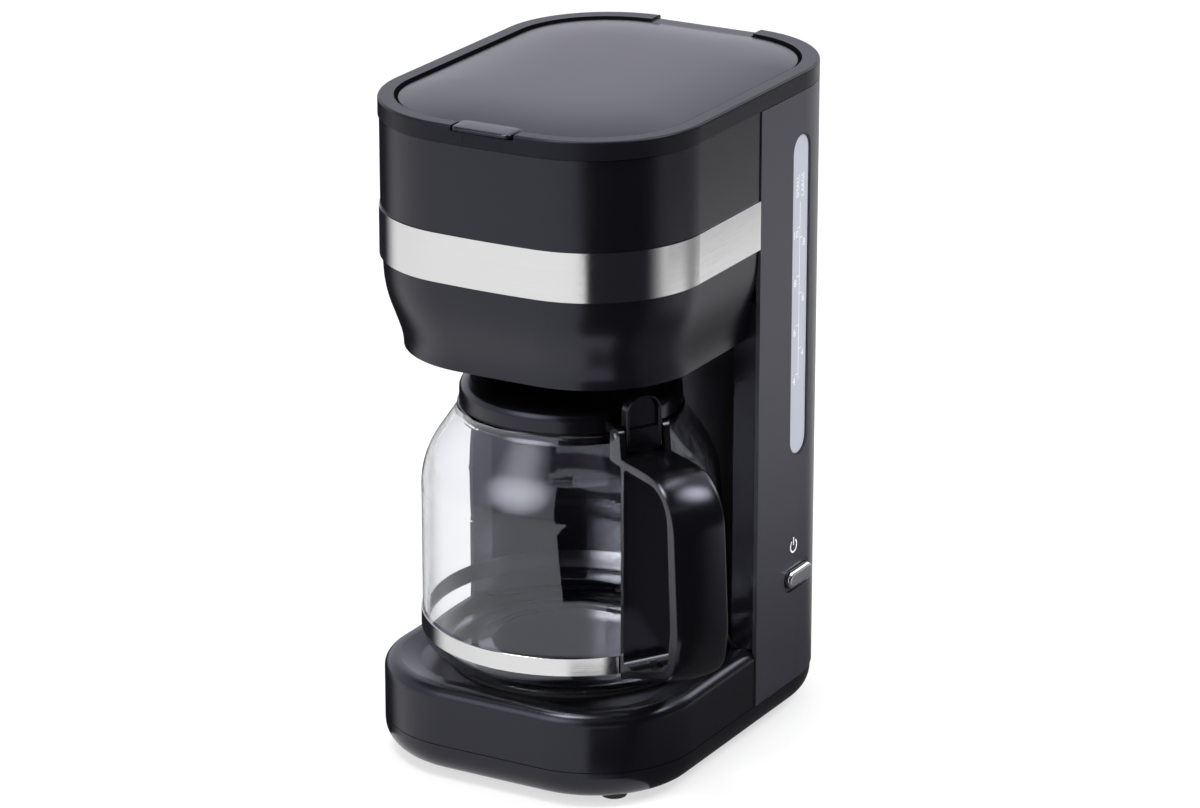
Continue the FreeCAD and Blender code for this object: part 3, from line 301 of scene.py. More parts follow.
finishes = {
    "black_plastic": mouldedPlastic("satin_black", (0.0025, 0.0025, 0.0035), roughness=0.24, grain=0.22),
    "gloss_black": mouldedPlastic("polished_black", (0.0018, 0.0018, 0.0022), roughness=0.22, grain=0.06,
                                  spread=0.04),
    "steel": brushedSteel("brushed_band", (0.60, 0.598, 0.60), roughness=0.13, streak=0.18),
    "bright_steel": polishedMetal("chrome", (0.78, 0.78, 0.79), roughness=0.08),
    "glass": clearGlass("jug_glass", (0.88, 0.885, 0.905)),
    "window": milkyPlastic("gauge_plastic", (0.40, 0.41, 0.48), roughness=0.32, through=0.10),
    "tank_plastic": milkyPlastic("tank_plastic", (0.60, 0.62, 0.66), roughness=0.3, through=0.35),
    "rubber": softRubber("black_rubber", (0.012, 0.012, 0.012)),
    "silicone": softRubber("white_silicone", (0.55, 0.55, 0.53)),
    "aluminium": polishedMetal("cast_aluminium", (0.66, 0.66, 0.67), roughness=0.42),
    "zinc_steel": polishedMetal("zinc_plate", (0.55, 0.55, 0.52), roughness=0.33),
    "plate_coat": coatedPlate("plate_coat", (0.012, 0.012, 0.013)),
    "mesh": nylonMesh("nylon_mesh", (0.05, 0.05, 0.055), pitch=0.0007),
}
housingFinish = mouldedPlastic("satin_housing", (0.020, 0.020, 0.026), roughness=0.38, grain=0.35,
                               spread=0.06, ior=1.56)
rimFinish = mouldedPlastic("satin_rim", (0.004, 0.004, 0.006), roughness=0.32, grain=0.3, ior=1.27)
whiteInk = printedInk("white_ink", (0.80, 0.80, 0.82))

for entry in frame["record"]["subparts"]:
    node = frame["nodes"][entry["node"]]
    node.data.materials.clear()
    node.data.materials.append(finishes[entry["material_slot"]])
frame["nodes"]["rear_housing"].data.materials[0] = housingFinish
frame["nodes"]["top_rim"].data.materials[0] = rimFinish
print("finishes", len(finishes) + 3)


# New pieces

weld = {"merge": 2e-6, "sliver": 1e-7, "sharpAngle": 38}


def addPiece(name, corners, faces, finish, body):
    # corners are in millimetres in the CAD frame
    mesh = bpy.data.meshes.new(name)
    mesh.from_pydata((np.asarray(corners) * mm).tolist(), [], faces)
    mesh.materials.append(finish)
    work = bmesh.new()
    work.from_mesh(mesh)
    bmesh.ops.remove_doubles(work, verts=work.verts, dist=weld["merge"])
    bmesh.ops.dissolve_degenerate(work, edges=work.edges, dist=weld["sliver"])
    bmesh.ops.recalc_face_normals(work, faces=work.faces)
    work.to_mesh(mesh)
    work.free()
    mesh.shade_smooth()
    mesh.set_sharp_from_angle(angle=math.radians(weld["sharpAngle"]))
    piece = bpy.data.objects.new(name, mesh)
    bpy.context.scene.collection.objects.link(piece)
    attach(piece, body)
    return piece


def gridFaces(rows, columns, around=True):
    # quads between neighbouring rows, closed round the columns
    row = np.arange(rows - 1)[:, None] * columns
    here = np.arange(columns if around else columns - 1)[None, :]
    after = (here + 1) % columns
    quads = np.stack([row + here, row + after, row + columns + after, row + columns + here], -1)
    return quads.reshape(-1, 4).tolist()


def addRows(name, rows, finish, body):
    return addPiece(name, rows.reshape(-1, 3), gridFaces(*rows.shape[:2]), finish, body)


def heading(path):
    ahead = np.gradient(path, axis=0)
    return ahead / np.linalg.norm(ahead, axis=1, keepdims=True)


def tube(path, planeNormal, radius, sides=10):
    # circle carried along a plane path: one axis is the plane's normal, the other lies across the path,
    # and the first and last rows close on the path's ends
    out = np.cross(heading(path), planeNormal)
    turn = np.linspace(0, 2 * np.pi, sides, endpoint=False)[None, :, None]
    rings = path[:, None] + radius * (np.cos(turn) * out[:, None] + np.sin(turn) * planeNormal)
    return np.concatenate([np.repeat(path[:1, None], sides, 1), rings, np.repeat(path[-1:, None], sides, 1)])


def ribbon(path, width, depth):
    # rectangle carried along a flat path: each side lies half a width along the path's normal
    path = np.asarray(path, float)
    along = heading(path)
    normal = np.stack([-along[:, 1], along[:, 0]], 1) * width / 2
    left, right = path + normal, path - normal
    flat = np.stack([left, right, right, left], 1)
    rise = np.broadcast_to(np.array([depth, depth, 0.0, 0.0]), flat.shape[:2])
    corners = np.concatenate([flat, rise[..., None]], -1).reshape(-1, 3)
    last = 4 * (len(path) - 1)
    ends = [[3, 2, 1, 0], [last, last + 1, last + 2, last + 3]]
    return corners, gridFaces(len(path), 4) + ends


def letters(words, height, depth):
    # built-in typeface turned into a closed flat mesh, centred on its place
    capShare = 0.72  # height of a capital as a share of the type size
    curve = bpy.data.curves.new("letters", "FONT")
    curve.body = words
    curve.size = height / capShare
    curve.extrude = depth / 2
    curve.resolution_u = 3
    curve.align_x, curve.align_y = "CENTER", "CENTER"
    holder = bpy.data.objects.new("letters", curve)
    mesh = bpy.data.meshes.new_from_object(holder)
    corners = np.empty(3 * len(mesh.vertices))
    mesh.vertices.foreach_get("co", corners)
    faces = [list(face.vertices) for face in mesh.polygons]
    bpy.data.objects.remove(holder)
    bpy.data.meshes.remove(mesh)
    return corners.reshape(-1, 3) + np.array([0, 0, depth / 2]), faces


def joined(parts):
    corners, faces, count = [], [], 0
    for partCorners, partFaces in parts:
        corners.append(partCorners)
        faces += [[v + count for v in face] for face in partFaces]
        count += len(partCorners)
    return np.concatenate(corners), faces


def atHeight(flat, z):
    return np.concatenate([flat, np.full((len(flat), 1), z)], 1)


casing = {"half": nodeBox("rear_housing")[1][0], "rear": nodeBox("rear_housing")[1][1], "cornerR": 62.0,
          "front": 118.3, "frontCornerR": 64.0, "bow": 8.0}


def bowRadius():
    # radius of the arc that rises by bow over half the width
    return (casing["half"] ** 2 + casing["bow"] ** 2) / (2 * casing["bow"])


def casingOutline(rear):
    # outline from above as centre, radius and normal: point = centre + (radius - inset) * normal.
    # Arcs turn the normal about a fixed centre, straight sides move the centre under a fixed normal
    half, r, rearR = casing["half"], casing["frontCornerR"], casing["cornerR"]
    bowR = bowRadius()
    x, bowY = half - r, bowR - casing["front"]
    y = bowY - math.sqrt((bowR - r) ** 2 - x ** 2)
    lean = math.asin(x / (bowR - r))
    rx, ry, quarter = half - rearR, rear - rearR, math.pi / 2
    knots = np.array([  # centre x, centre y, radius, normal angle, steps to the next knot
        (0, bowY, bowR, -lean, 24), (0, bowY, bowR, lean, 0),
        (x, y, r, lean, 24), (x, y, r, quarter, 16),
        (rx, ry, rearR, quarter, 24), (rx, ry, rearR, 2 * quarter, 16),
        (-rx, ry, rearR, 2 * quarter, 24), (-rx, ry, rearR, 3 * quarter, 16),
        (-x, y, r, 3 * quarter, 24), (-x, y, r, 4 * quarter - lean, 0)])
    runs = [a[:4] + (b[:4] - a[:4]) * np.linspace(0, 1, int(a[4]), endpoint=False)[:, None]
            for a, b in zip(knots[:-1], knots[1:]) if a[4]]
    centreX, centreY, radius, angle = np.concatenate(runs).T
    normal = np.stack([np.sin(angle), -np.cos(angle)], 1)
    return np.stack([centreX, centreY], 1), radius[:, None], normal


def onRightSide(corners, inset):
    # flat figure (across, up, lift) laid on the right side: flat as far as the rear corner, then on its round
    centre = casing["rear"] - casing["cornerR"]
    r = casing["cornerR"] - inset
    bend = np.clip(corners[:, 0] - centre, 0, None)
    x = casing["half"] - casing["cornerR"] + np.sqrt(r * r - bend * bend)
    return np.stack([x + corners[:, 2], corners[:, 0], corners[:, 1]], 1)


waterScale = {"y": 59.3, "low": 193.0, "top": 292.0, "line": 0.45, "tick": 3.0,
              "depth": 0.06, "paneInset": 1.0,
              "left": ((278.0, "10"), (251.0, "8"), (223.5, "6"), (196.0, "4")),
              "right": ((272.0, "8"), (241.0, "6"), (210.0, "4")),
              "height": 4.2, "aside": 4.6, "below": 0.85,
              "word": 3.1, "wordAside": 2.9, "crown": 301.0}


def addWaterScale(scale):
    # upright line with ticks to both sides, a number below each tick, and a word at the head of each side
    y, depth, line = scale["y"], scale["depth"], scale["line"]
    parts = [ribbon([(y, scale["low"]), (y, scale["top"])], line, depth)]
    for side, marks in ((-1, scale["left"]), (1, scale["right"])):
        for z, number in marks:
            parts.append(ribbon([(y, z), (y + side * scale["tick"], z)], line, depth))
            corners, faces = letters(number, scale["height"], depth)
            place = np.array([y + side * scale["aside"], z - scale["height"] * scale["below"], 0])
            parts.append((corners + place, faces))
    for side, word in ((-1, "SMALL"), (1, "LARGE")):
        corners, faces = letters(word, scale["word"], depth)
        upright = np.stack([-corners[:, 1], corners[:, 0], corners[:, 2]], 1)
        parts.append((upright + np.array([y + side * scale["wordAside"], scale["crown"], 0]), faces))
    corners, faces = joined(parts)
    addPiece("water_scale", onRightSide(corners, scale["paneInset"]), faces, whiteInk, "body")


powerSign = {"y": 55.0, "z": 99.0, "radius": 3.5, "stroke": 0.95, "gap": 34.0, "steps": 41, "depth": 0.06,
             "foot": 0.4, "reach": 4.9}


def addPowerSign(sign):
    # open ring, a circle less a gap at the top, and an upright stroke through the gap
    y, z, radius = sign["y"], sign["z"], sign["radius"]
    turn = np.radians(np.linspace(sign["gap"], 360 - sign["gap"], sign["steps"]))
    ring = np.stack([y + radius * np.sin(turn), z + radius * np.cos(turn)], 1)
    stroke = [(y, z + sign["foot"]), (y, z + sign["reach"])]
    corners, faces = joined([ribbon(path, sign["stroke"], sign["depth"]) for path in (ring, stroke)])
    addPiece("power_sign", onRightSide(corners, 0.0), faces, whiteInk, "body")


addWaterScale(waterScale)
addPowerSign(powerSign)
print("print on the right side")


# Lid: the filled rim below it, a pillow with a rolled edge, its lift tab and its hinge tongue

rimFill = {"scoopR": 16.0, "scoopDepth": 4.5, "low": 355.25, "top": 360.15, "skin": 0.06,
           "tries": 400, "within": 0.999, "steps": 41}


def addRimFill(fill):
    # closes the finger scoop of the rim below the tab: its front is the bowed front, its back the scoop's arc
    bowR, front, scoopR = bowRadius(), casing["front"], fill["scoopR"]
    scoopY = -front + fill["scoopDepth"] - scoopR

    def frontAndBack(x):
        return (bowR - front - np.sqrt(bowR ** 2 - x ** 2) + fill["skin"],
                scoopY + np.sqrt(scoopR ** 2 - x ** 2) - fill["skin"])

    reach = np.linspace(-1, 1, fill["tries"]) * scoopR * fill["within"]
    forward, back = frontAndBack(reach)
    wide = np.abs(reach[back > forward]).max()
    x = np.linspace(-wide, wide, fill["steps"])
    forward, back = frontAndBack(x)
    back = np.maximum(back, forward)
    back[[0, -1]] = forward[[0, -1]]
    low, top = np.full_like(x, fill["low"]), np.full_like(x, fill["top"])
    section = ((forward, low), (forward, top), (back, top), (back, low))
    rows = np.stack([np.stack([x, y, z], 1) for y, z in section], 1)
    addRows("rim_fill", rows, rimFinish, "body")


lidForm = {"rear": 122.9, "inset": 10.5, "bottom": 357.2, "edge": 361.55, "wall": 2.2, "ceiling": 359.4,
           "top": nodeBox("lid")[1][2] - 0.05,  # just under the top of the CAD lid
           "roll": ((0.0, -0.45), (0.08, -0.1), (0.26, 0.1), (0.55, 0.22)),  # inset, height over the edge
           "swell": 4.0, "ridge": 0.25, "rings": 44, "crowding": 1.5}


def addLidPillow(form):
    # the outline shrinks by u towards a short ridge on the centre line, and the height rises by
    # 1 - (1 - u)^swell
    centre, radius, normal = casingOutline(form["rear"])

    def ring(inset, z):
        return atHeight(centre + (radius - form["inset"] - inset) * normal, z)

    *rolled, edge = [ring(inset, form["edge"] + lift) for inset, lift in form["roll"]]
    middle = (edge[:, 1].min() + edge[:, 1].max()) / 2
    ridge = np.stack([0 * edge[:, 0], middle + form["ridge"] * (edge[:, 1] - middle), edge[:, 2]], 1)
    u = (np.linspace(0, 1, form["rings"]) ** form["crowding"])[:, None, None]
    dome = edge + (ridge - edge) * u
    dome[..., 2] += (form["top"] - edge[0, 2]) * (1 - (1 - u[..., 0]) ** form["swell"])
    wall, ceiling, bottom = form["wall"], form["ceiling"], form["bottom"]
    under = [atHeight(ridge[:, :2], ceiling), ring(wall, ceiling), ring(wall, bottom), ring(0.0, bottom)]
    rows = np.concatenate([np.stack(under + rolled), dome])
    pillow = addRows("lid_pillow", rows, finishes["black_plastic"], "lid")
    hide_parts("lid")


tabForm = {"half": 18.0, "front": -120.4, "back": -105.0, "low": 360.8, "top": 363.4, "flare": 1.0,
           "steps": 96, "power": 7,
           "under": ((1.0, 0.0), (0.0, 0.6)),  # inset, height over the underside
           "over": ((0.0, -0.9), (0.25, -0.4), (0.8, -0.1), (1.6, 0.0))}  # inset, height over the top


def addLidTab(form):
    # rounded plate: a superellipse outline with rows that roll over its edge, then close on its middle line
    turn = np.linspace(0, 2 * np.pi, form["steps"], endpoint=False)
    across, along = [np.sign(wave) * np.abs(wave) ** (2 / form["power"])
                     for wave in (np.cos(turn), np.sin(turn))]
    halfY = (form["back"] - form["front"]) / 2
    midY = (form["back"] + form["front"]) / 2
    low, top = form["low"], form["top"]
    profile = [(halfY, low), *[(inset, low + lift) for inset, lift in form["under"]],
               *[(inset, top + lift) for inset, lift in form["over"]], (halfY, top)]
    inset, z = np.array(profile).T[:, :, None]
    x = (form["half"] - inset - form["flare"] * (1 - along) / 2) * across
    rows = np.stack([x, midY + (halfY - inset) * along, z + 0 * x], -1)
    addRows("lid_tab", rows, finishes["black_plastic"], "lid")


tongueForm = {"half": 31.0, "front": 109.6, "low": 358.6, "top": 361.65,
              "hinge": (119.2, 358.6), "barrel": 3.6, "arc": (72, -180), "arcSteps": 36,
              "shoulder": (-1.2, 0.12), "heart": (-2.0, 1.0)}


def addLidTongue(form):
    # side view of plate and barrel carried across the lid: the barrel is an arc from near its top,
    # round its back and underside, to its front
    (y, z), front, top = form["hinge"], form["front"], form["top"]
    turn = np.radians(np.linspace(*form["arc"], form["arcSteps"]))
    arc = np.stack([y + form["barrel"] * np.cos(turn), z + form["barrel"] * np.sin(turn)], 1)
    shoulder = (y + form["shoulder"][0], top + form["shoulder"][1])
    side = np.concatenate([[(front, form["low"]), (front, top), shoulder], arc])
    heart = np.repeat([[y + form["heart"][0], z + form["heart"][1]]], len(side), 0)
    half = np.full((len(side), 1), form["half"])
    rows = np.stack([np.concatenate([x, flat], 1)
                     for x, flat in ((-half, heart), (-half, side), (half, side), (half, heart))])
    addRows("lid_tongue", rows, finishes["black_plastic"], "lid")


addRimFill(rimFill)
addLidPillow(lidForm)
addLidTab(tabForm)
addLidTongue(tongueForm)
print("lid")


# Jug: bead along the arch of the lid lever, and the crowned outside of the handle

handlePlane = {"turn": -31.4, "axisY": -28.0}


def handleAxes():
    # level axes of the handle: outward along it and aside across it
    turn = math.radians(handlePlane["turn"])
    return np.array([math.cos(turn), math.sin(turn), 0]), np.array([-math.sin(turn), math.cos(turn), 0])


def onHandle(out, across, up):
    # place from its distances out from the jug's axis, across the handle and up
    outward, aside = handleAxes()
    out, across, up = [np.asarray(value, float)[..., None] for value in (out, across, up)]
    return np.array([0, handlePlane["axisY"], 0]) + out * outward + across * aside + up * np.array([0, 0, 1])


leverRim = {"out": 78.0, "half": 9.5, "arch": 208.6, "low": 192.0, "radius": 0.95,
            "legSteps": 8, "archSteps": 33}


def addLeverRim(rim):
    # upright legs and a half circle, carried with a round section, in the plane across the handle
    half, count = rim["half"], rim["legSteps"]
    turn = np.radians(np.linspace(0, 180, rim["archSteps"]))
    legs = np.linspace(rim["low"], rim["arch"], count, endpoint=False)
    across = np.concatenate([np.full(count, half), half * np.cos(turn), np.full(count, -half)])
    up = np.concatenate([legs, rim["arch"] + half * np.sin(turn), legs[::-1]])
    rows = tube(onHandle(rim["out"], across, up), handleAxes()[0], rim["radius"])
    addRows("lever_rim", rows, finishes["gloss_black"], "jug_lid")


coverForm = {"half": 15.0, "thick": 2.6, "drop": 1.7, "roll": 0.6, "rollPower": 12,
             "path": ((93.1, 64.6), (138.0, 82.5), (142.5, 106.0), (136.0, 189.3), (93.1, 189.3)),
             "radii": (20.0, 40.0, 30.0), "cornerSteps": 16, "steps": 120, "acrossSteps": 25}


def roundedPath(points, radii, steps):
    # straight runs with an arc at each inner corner, which starts and ends one tangent length from the corner
    points = np.asarray(points, float)
    runs = [points[:1]]
    for before, corner, after, r in zip(points[:-2], points[1:-1], points[2:], radii):
        a, b = before - corner, after - corner
        a, b = a / np.linalg.norm(a), b / np.linalg.norm(b)
        half = math.acos(np.clip(a @ b, -1, 1)) / 2
        middle = corner + (a + b) / np.linalg.norm(a + b) * r / math.sin(half)
        start = corner + a * r / math.tan(half) - middle
        end = corner + b * r / math.tan(half) - middle
        sweep = math.pi - 2 * half
        t = np.linspace(0, 1, steps)[:, None] * sweep
        runs.append(middle + (np.sin(sweep - t) * start + np.sin(t) * end) / math.sin(sweep))
    runs.append(points[-1:])
    return np.concatenate(runs)


def addHandleShell(form):
    # crowned strip: the outside drops by drop * a^2, and by roll * a^rollPower more at its edges,
    # with a from -1 to 1 across
    path = roundedPath(form["path"], form["radii"], form["cornerSteps"])
    length = np.concatenate([[0], np.cumsum(np.linalg.norm(np.diff(path, axis=0), axis=1))])
    place = np.linspace(0, length[-1], form["steps"])
    path = np.stack([np.interp(place, length, path[:, 0]), np.interp(place, length, path[:, 1])], 1)
    ahead = heading(path)
    out = np.stack([ahead[:, 1], -ahead[:, 0]], 1)
    a = np.sin(np.linspace(-np.pi / 2, np.pi / 2, form["acrossSteps"]))
    across = np.concatenate([a, [1.0, -1.0]]) * form["half"]
    crown = form["drop"] * a ** 2 + form["roll"] * a ** form["rollPower"]
    depth = np.concatenate([crown, [form["thick"], form["thick"]]])
    flat = path[:, None] - depth[None, :, None] * out[:, None]
    rows = onHandle(flat[..., 0], across, flat[..., 1])
    first, last = [np.repeat(rows[k].mean(0)[None], rows.shape[1], 0)[None] for k in (0, -1)]
    rows = np.concatenate([first, rows, last])
    shell = addRows("handle_shell", rows, finishes["gloss_black"], "jug")
    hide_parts("handle_cover")


addLeverRim(leverRim)
addHandleShell(coverForm)
print("jug details")


# Camera, floor, world and lamps

cameraFit = {"place": (1249.1, -2194.5, 1067.5), "back": (0.4663, -0.8203, 0.3312),
             "focalPixels": 5008.06, "imageWidth": 1200, "sensor": 36.0}


def addCamera(fit):
    data = bpy.data.cameras.new("camera")
    data.sensor_width = fit["sensor"]
    data.lens = fit["sensor"] * fit["focalPixels"] / fit["imageWidth"]
    camera = bpy.data.objects.new("camera", data)
    camera.location = Vector(fit["place"]) * mm
    camera.rotation_euler = (-Vector(fit["back"])).to_track_quat("-Z", "Y").to_euler()
    bpy.context.scene.collection.objects.link(camera)
    bpy.context.scene.camera = camera


def seenRay(tree):
    # one for rays that show the background: straight, mirrored or through glass
    names = ("Is Camera Ray", "Is Glossy Ray", "Is Transmission Ray")
    camera, glossy, through = [addNode(tree, "ShaderNodeLightPath", None, None, name) for name in names]
    return camera.most(glossy).most(through)


studio = {"floorSize": 14.0, "floorColour": (0.86, 0.86, 0.86), "floorGlow": 0.62, "worldLight": 0.55,
          "skyTint": (1.0, 0.99, 1.11, 1)}


def addFloor(studio):
    half = studio["floorSize"] / 2
    corners = [(-half, -half, 0), (half, -half, 0), (half, half, 0), (-half, half, 0)]
    mesh = bpy.data.meshes.new("floor")
    mesh.from_pydata(corners, [], [(0, 1, 2, 3)])
    floor = bpy.data.objects.new("floor", mesh)
    bpy.context.scene.collection.objects.link(floor)
    finish, tree = newFinish("pale_floor")
    matt = addNode(tree, "ShaderNodeBsdfDiffuse", None, {"Color": tone(studio["floorColour"])})
    glow = addNode(tree, "ShaderNodeEmission", None, {"Color": (1, 1, 1, 1), "Strength": 1.0})
    shown = studio["floorGlow"] * seenRay(tree)
    mixed = addNode(tree, "ShaderNodeMixShader", None, {0: shown, 1: matt, 2: glow})
    addNode(tree, "ShaderNodeOutputMaterial", None, {"Surface": mixed})
    mesh.materials.append(finish)


def addWorld(studio):
    # full white where the background is seen, less as light, and a little blue in mirrored rays
    world = bpy.data.worlds.new("white_studio")
    bpy.context.scene.world = world
    world.use_nodes = True
    tree = world.node_tree
    tree.nodes.clear()
    level = studio["worldLight"] + (1.0 - studio["worldLight"]) * seenRay(tree)
    mirrored = addNode(tree, "ShaderNodeLightPath", None, None, "Is Glossy Ray")
    tint = mixColour(tree, mirrored, (1, 1, 1, 1), studio["skyTint"])
    back = addNode(tree, "ShaderNodeBackground", None, {"Color": tint, "Strength": level})
    addNode(tree, "ShaderNodeOutputWorld", None, {"Surface": back})


lamps = {
    "key": {"azimuth": -24, "height": 68, "distance": 2.4, "size": 1.3, "power": 44},
    "side": {"azimuth": 112, "height": 52, "distance": 2.3, "size": 1.5, "power": 36},
    "front": {"azimuth": -14, "height": 26, "distance": 2.4, "size": 2.5, "power": 22},
    "rear": {"azimuth": 158, "height": 24, "distance": 2.4, "size": 1.2, "power": 6},
    "top": {"azimuth": 200, "height": 74, "distance": 2.4, "size": 1.8, "power": 20},
}
softbox = {"aim": 0.2, "middle": 2.5, "falloff": 1.5}


def addLamp(name, lamp):
    # azimuth is counted from the front (-Y) towards the right, height above the table
    turn, rise = math.radians(lamp["azimuth"]), math.radians(lamp["height"])
    toLamp = Vector((math.sin(turn) * math.cos(rise), -math.cos(turn) * math.cos(rise), math.sin(rise)))
    data = bpy.data.lights.new(name, "AREA")
    data.shape = "DISK"
    data.size = lamp["size"]
    data.energy = lamp["power"]
    data.use_nodes = True
    tree = data.node_tree
    tree.nodes.clear()
    # the cloth of the softbox is brightest in the middle and fades out at its rim
    place = addNode(tree, "ShaderNodeNewGeometry", None, None, "Parametric")
    across = addNode(tree, "ShaderNodeVectorMath", {"operation": "DISTANCE"},
                     {0: place, 1: (0.5, 0.5, 0.0)}, "Value")
    fade = (1 - (2 * across) ** 2).most(0.0) ** softbox["falloff"]
    glow = addNode(tree, "ShaderNodeEmission", None,
                   {"Color": (1, 1, 1, 1), "Strength": softbox["middle"] * fade})
    addNode(tree, "ShaderNodeOutputLight", None, {"Surface": glow})
    light = bpy.data.objects.new(name, data)
    light.location = toLamp * lamp["distance"] + Vector((0, 0, softbox["aim"]))
    light.rotation_euler = toLamp.to_track_quat("Z", "Y").to_euler()
    light.visible_camera = False
    bpy.context.scene.collection.objects.link(light)


# Cards round the machine that are seen only in mirrored rays or through glass: dark sheets that paint shade
# there, and a glowing sheet that paints a highlight

def addCard(name, corners, faces, finish, rays):
    mesh = bpy.data.meshes.new(name)
    mesh.from_pydata(corners.tolist(), [], faces)
    mesh.materials.append(finish)
    sheet = bpy.data.objects.new(name, mesh)
    bpy.context.scene.collection.objects.link(sheet)
    for kind in ("camera", "diffuse", "glossy", "transmission", "volume_scatter", "shadow"):
        setattr(sheet, "visible_" + kind, kind in rays)


def cardFinish(name, shade, clearing):
    # sheet of one even colour, a painted shade on the dark cards and a painted glow on the front card,
    # see-through where clearing is one
    finish, tree = newFinish(name)
    paintedShadeAndGlow = addNode(tree, "ShaderNodeEmission", None, {"Color": (*shade, 1), "Strength": 1.0})
    clear = addNode(tree, "ShaderNodeBsdfTransparent")
    fade = clearing(tree, *objectParts(tree))
    mixed = addNode(tree, "ShaderNodeMixShader", None, {0: fade, 1: paintedShadeAndGlow, 2: clear})
    addNode(tree, "ShaderNodeOutputMaterial", None, {"Surface": mixed})
    return finish


def bearing(x, y, corner):
    # angle about a corner, counted from the front towards the right
    return x.combine("ARCTAN2", x - corner[0] * mm, corner[1] * mm - y)


def sector(corner, edge, last, lift, steps=41):
    # polar grid on the table: each row has one distance and runs from its own first angle to the last
    reach, first = np.array(edge).T[:, :, None]
    angle = np.radians(first + (last - first) * np.linspace(0, 1, steps)[None, :])
    x = corner[0] * mm + np.sin(angle) * reach
    y = corner[1] * mm - np.cos(angle) * reach
    return np.stack([x, y, np.full_like(x, lift)], -1).reshape(-1, 3), gridFaces(len(edge), steps, False)


bothRays = ("glossy", "transmission")

# dark sheet on the table, seen only in reflections and through glass, that paints shade there, the machine's
# shadow among it: edges are runs of (distance, first angle), spans are where a fade starts and ends
rightCard = {"corner": (54.0, -111.0), "last": 176.0, "lift": 0.0015, "shade": (0.020, 0.020, 0.026),
             "edges": (((0.04, 25.4), (0.145, 25.4)), ((0.145, 62.0), (0.25, 62.0)),
                       ((0.25, 21.0), (0.388, 15.5), (0.8, 25.4), (0.96, 25.4), (1.2, 17.0), (3.2, 17.0))),
             "fadeTurn": (84.0, 118.0), "shadowX": (0.13, 0.50), "shadowDepth": 0.92,
             "beyondReach": (0.92, 0.98), "beyondTurn": (96.0, 110.0), "beyondDepth": 0.70,
             "sideX": (0.53, 0.58), "sideTurn": (124.0, 138.0),
             "innerReach": (0.58, 0.76), "innerTurn": (132.0, 150.0), "innerDepth": 0.85}


def rightClearing(tree, x, y, z):
    # clears with the angle towards the back, but stays partly dark as painted shade: the machine's painted
    # shadow, beyond the distance that the steel band mirrors, and near the machine
    card = rightCard
    turn = bearing(x, y, card["corner"])
    across, along = x - card["corner"][0] * mm, y - card["corner"][1] * mm
    reach = (across * across + along * along) ** 0.5

    def byTurn(key):
        return ramp(tree, turn, *np.radians(card[key]))

    # painted shadow of the machine on the table, as seen in reflections
    outsidePaintedShadow = 1 - card["shadowDepth"] * (1 - ramp(tree, x, *card["shadowX"]))
    side = byTurn("sideTurn")
    beyond = byTurn("beyondTurn") * (1 - side) * ramp(tree, reach, *card["beyondReach"])
    beyond = beyond + side * ramp(tree, x, *card["sideX"])
    inner = (1 - byTurn("innerTurn")) * (1 - ramp(tree, reach, *card["innerReach"]))
    clear = byTurn("fadeTurn").least(outsidePaintedShadow)
    return clear.least(1 - card["beyondDepth"] * beyond).least(1 - card["innerDepth"] * inner)


def addRightCard(card):
    grids = [sector(card["corner"], edge, card["last"], card["lift"]) for edge in card["edges"]]
    addCard("right_card", *joined(grids), cardFinish("right_painted_shade", card["shade"], rightClearing), bothRays)


leftCard = {"corner": (-54.0, -111.0), "edge": ((0.04, -84.0), (3.2, -84.0)), "last": -176.0, "lift": 0.0015,
            "fadeTurn": (-112.0, -84.0), "shade": (0.020, 0.020, 0.026)}


def leftClearing(tree, x, y, z):
    return ramp(tree, bearing(x, y, leftCard["corner"]), *np.radians(leftCard["fadeTurn"]))


def addLeftCard(card):
    # dark sheet on the table to the left, seen only in mirrored rays, that paints shade there
    corners, faces = sector(card["corner"], card["edge"], card["last"], card["lift"])
    addCard("left_card", corners, faces, cardFinish("left_painted_shade", card["shade"], leftClearing), ("glossy",))


wallCard = {"radius": 3.1, "first": 17.0, "last": 172.0, "fadeTurn": (140.0, 172.0), "height": 2.6,
            "shade": (0.03, 0.03, 0.04)}


def wallClearing(tree, x, y, z):
    return ramp(tree, bearing(x, y, (0, 0)), *np.radians(wallCard["fadeTurn"]))


def addWallCard(card):
    # upright dark sheet far to the right, seen only in reflections and through glass, that paints shade
    # there: part of a cylinder, two rows at one distance
    corners, faces = sector((0, 0), ((card["radius"], card["first"]),) * 2, card["last"], 0.0)
    corners[len(corners) // 2:, 2] = card["height"]
    addCard("wall_card", corners, faces, cardFinish("wall_painted_shade", card["shade"], wallClearing), bothRays)


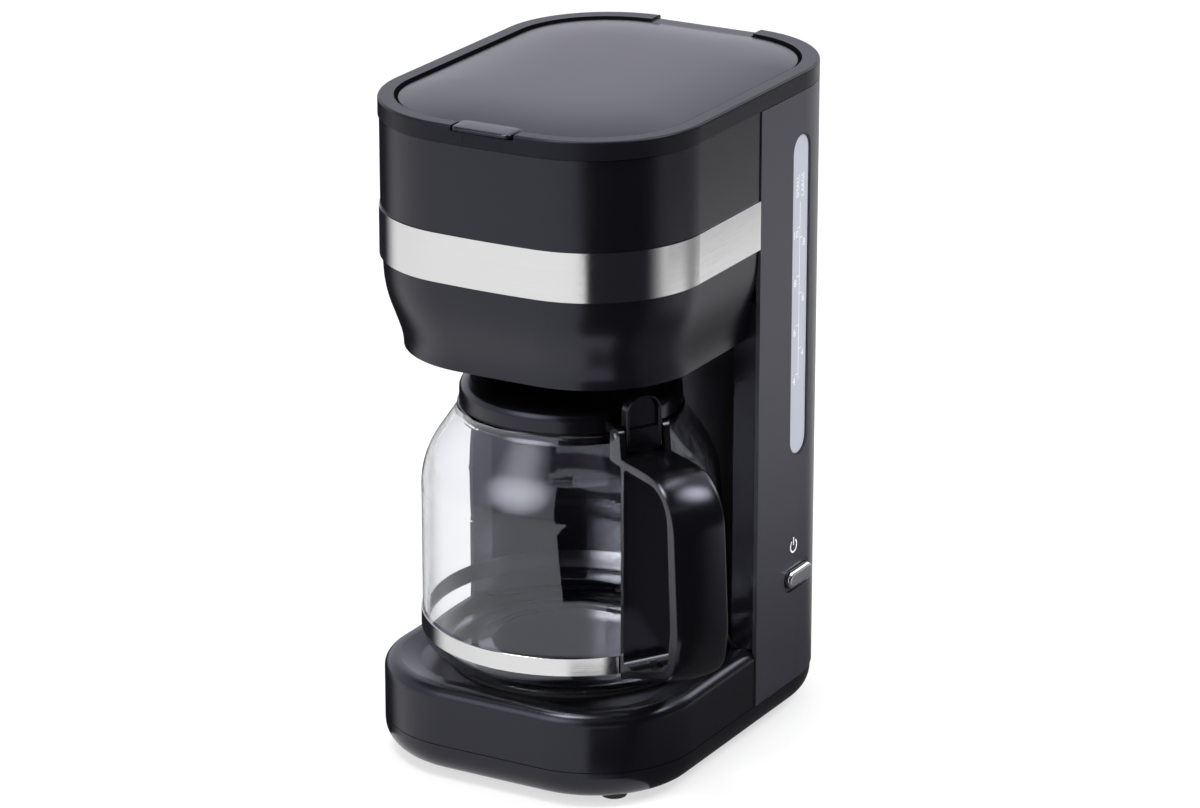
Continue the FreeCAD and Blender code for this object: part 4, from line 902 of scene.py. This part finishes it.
ceilingCard = {"radius": 3.3, "spread": 115.0, "low": 34.0, "high": 88.0, "columns": 33, "rows": 17,
               "fadeZ": (1.95, 2.65), "shade": (0.03, 0.03, 0.04)}


def ceilingClearing(tree, x, y, z):
    return 1 - ramp(tree, z, *ceilingCard["fadeZ"])


def addCeilingCard(card):
    # dark sheet over the front, seen only in reflections and through glass, that paints shade there: part of
    # a sphere, by angle round and angle up
    around = np.radians(np.linspace(-card["spread"], card["spread"], card["columns"]))[None, :]
    up = np.radians(np.linspace(card["low"], card["high"], card["rows"]))[:, None]
    level, lift = np.cos(up), np.sin(up) + 0 * around
    corners = np.stack([level * np.sin(around), -level * np.cos(around), lift], -1)
    faces = gridFaces(card["rows"], card["columns"], False)
    addCard("ceiling_card", corners.reshape(-1, 3) * card["radius"], faces,
            cardFinish("ceiling_painted_shade", card["shade"], ceilingClearing), bothRays)


frontCard = {"place": (-508.0, -2039.0, 935.0), "faces": (0.0, 0.0, 165.0), "radius": 1.15, "glow": 10.0,
             "falloff": 1.5}


def frontClearing(tree, x, y, z):
    # painted glow, white in the middle, clear at the rim
    card = frontCard
    across, along, up = [(value - c * mm) / card["radius"] for value, c in zip((x, y, z), card["place"])]
    away = across * across + along * along + up * up
    return 1 - (1 - away).most(0.0) ** card["falloff"]


def addFrontCard(card):
    # flat glowing square before the machine that faces the jug; seen only through glass, it paints a soft
    # highlight there
    middle = np.array(card["place"]) * mm
    out = middle - np.array(card["faces"]) * mm
    out /= np.linalg.norm(out)
    side = np.array([-out[1], out[0], 0.0]) / math.hypot(out[0], out[1])
    up = np.cross(out, side)
    square = np.array([a * side + b * up for a, b in ((-1, -1), (1, -1), (1, 1), (-1, 1))]) * card["radius"]
    addCard("front_card", square + middle, [(0, 1, 2, 3)],
            cardFinish("front_painted_glow", (card["glow"],) * 3, frontClearing), ("transmission",))


addCamera(cameraFit)
addFloor(studio)
addWorld(studio)
addRightCard(rightCard)
addLeftCard(leftCard)
addWallCard(wallCard)
addCeilingCard(ceilingCard)
addFrontCard(frontCard)
for lampName, lamp in lamps.items():
    addLamp(lampName, lamp)
bpy.context.scene.view_settings.view_transform = "Standard"
print("studio", len(lamps), "lamps")
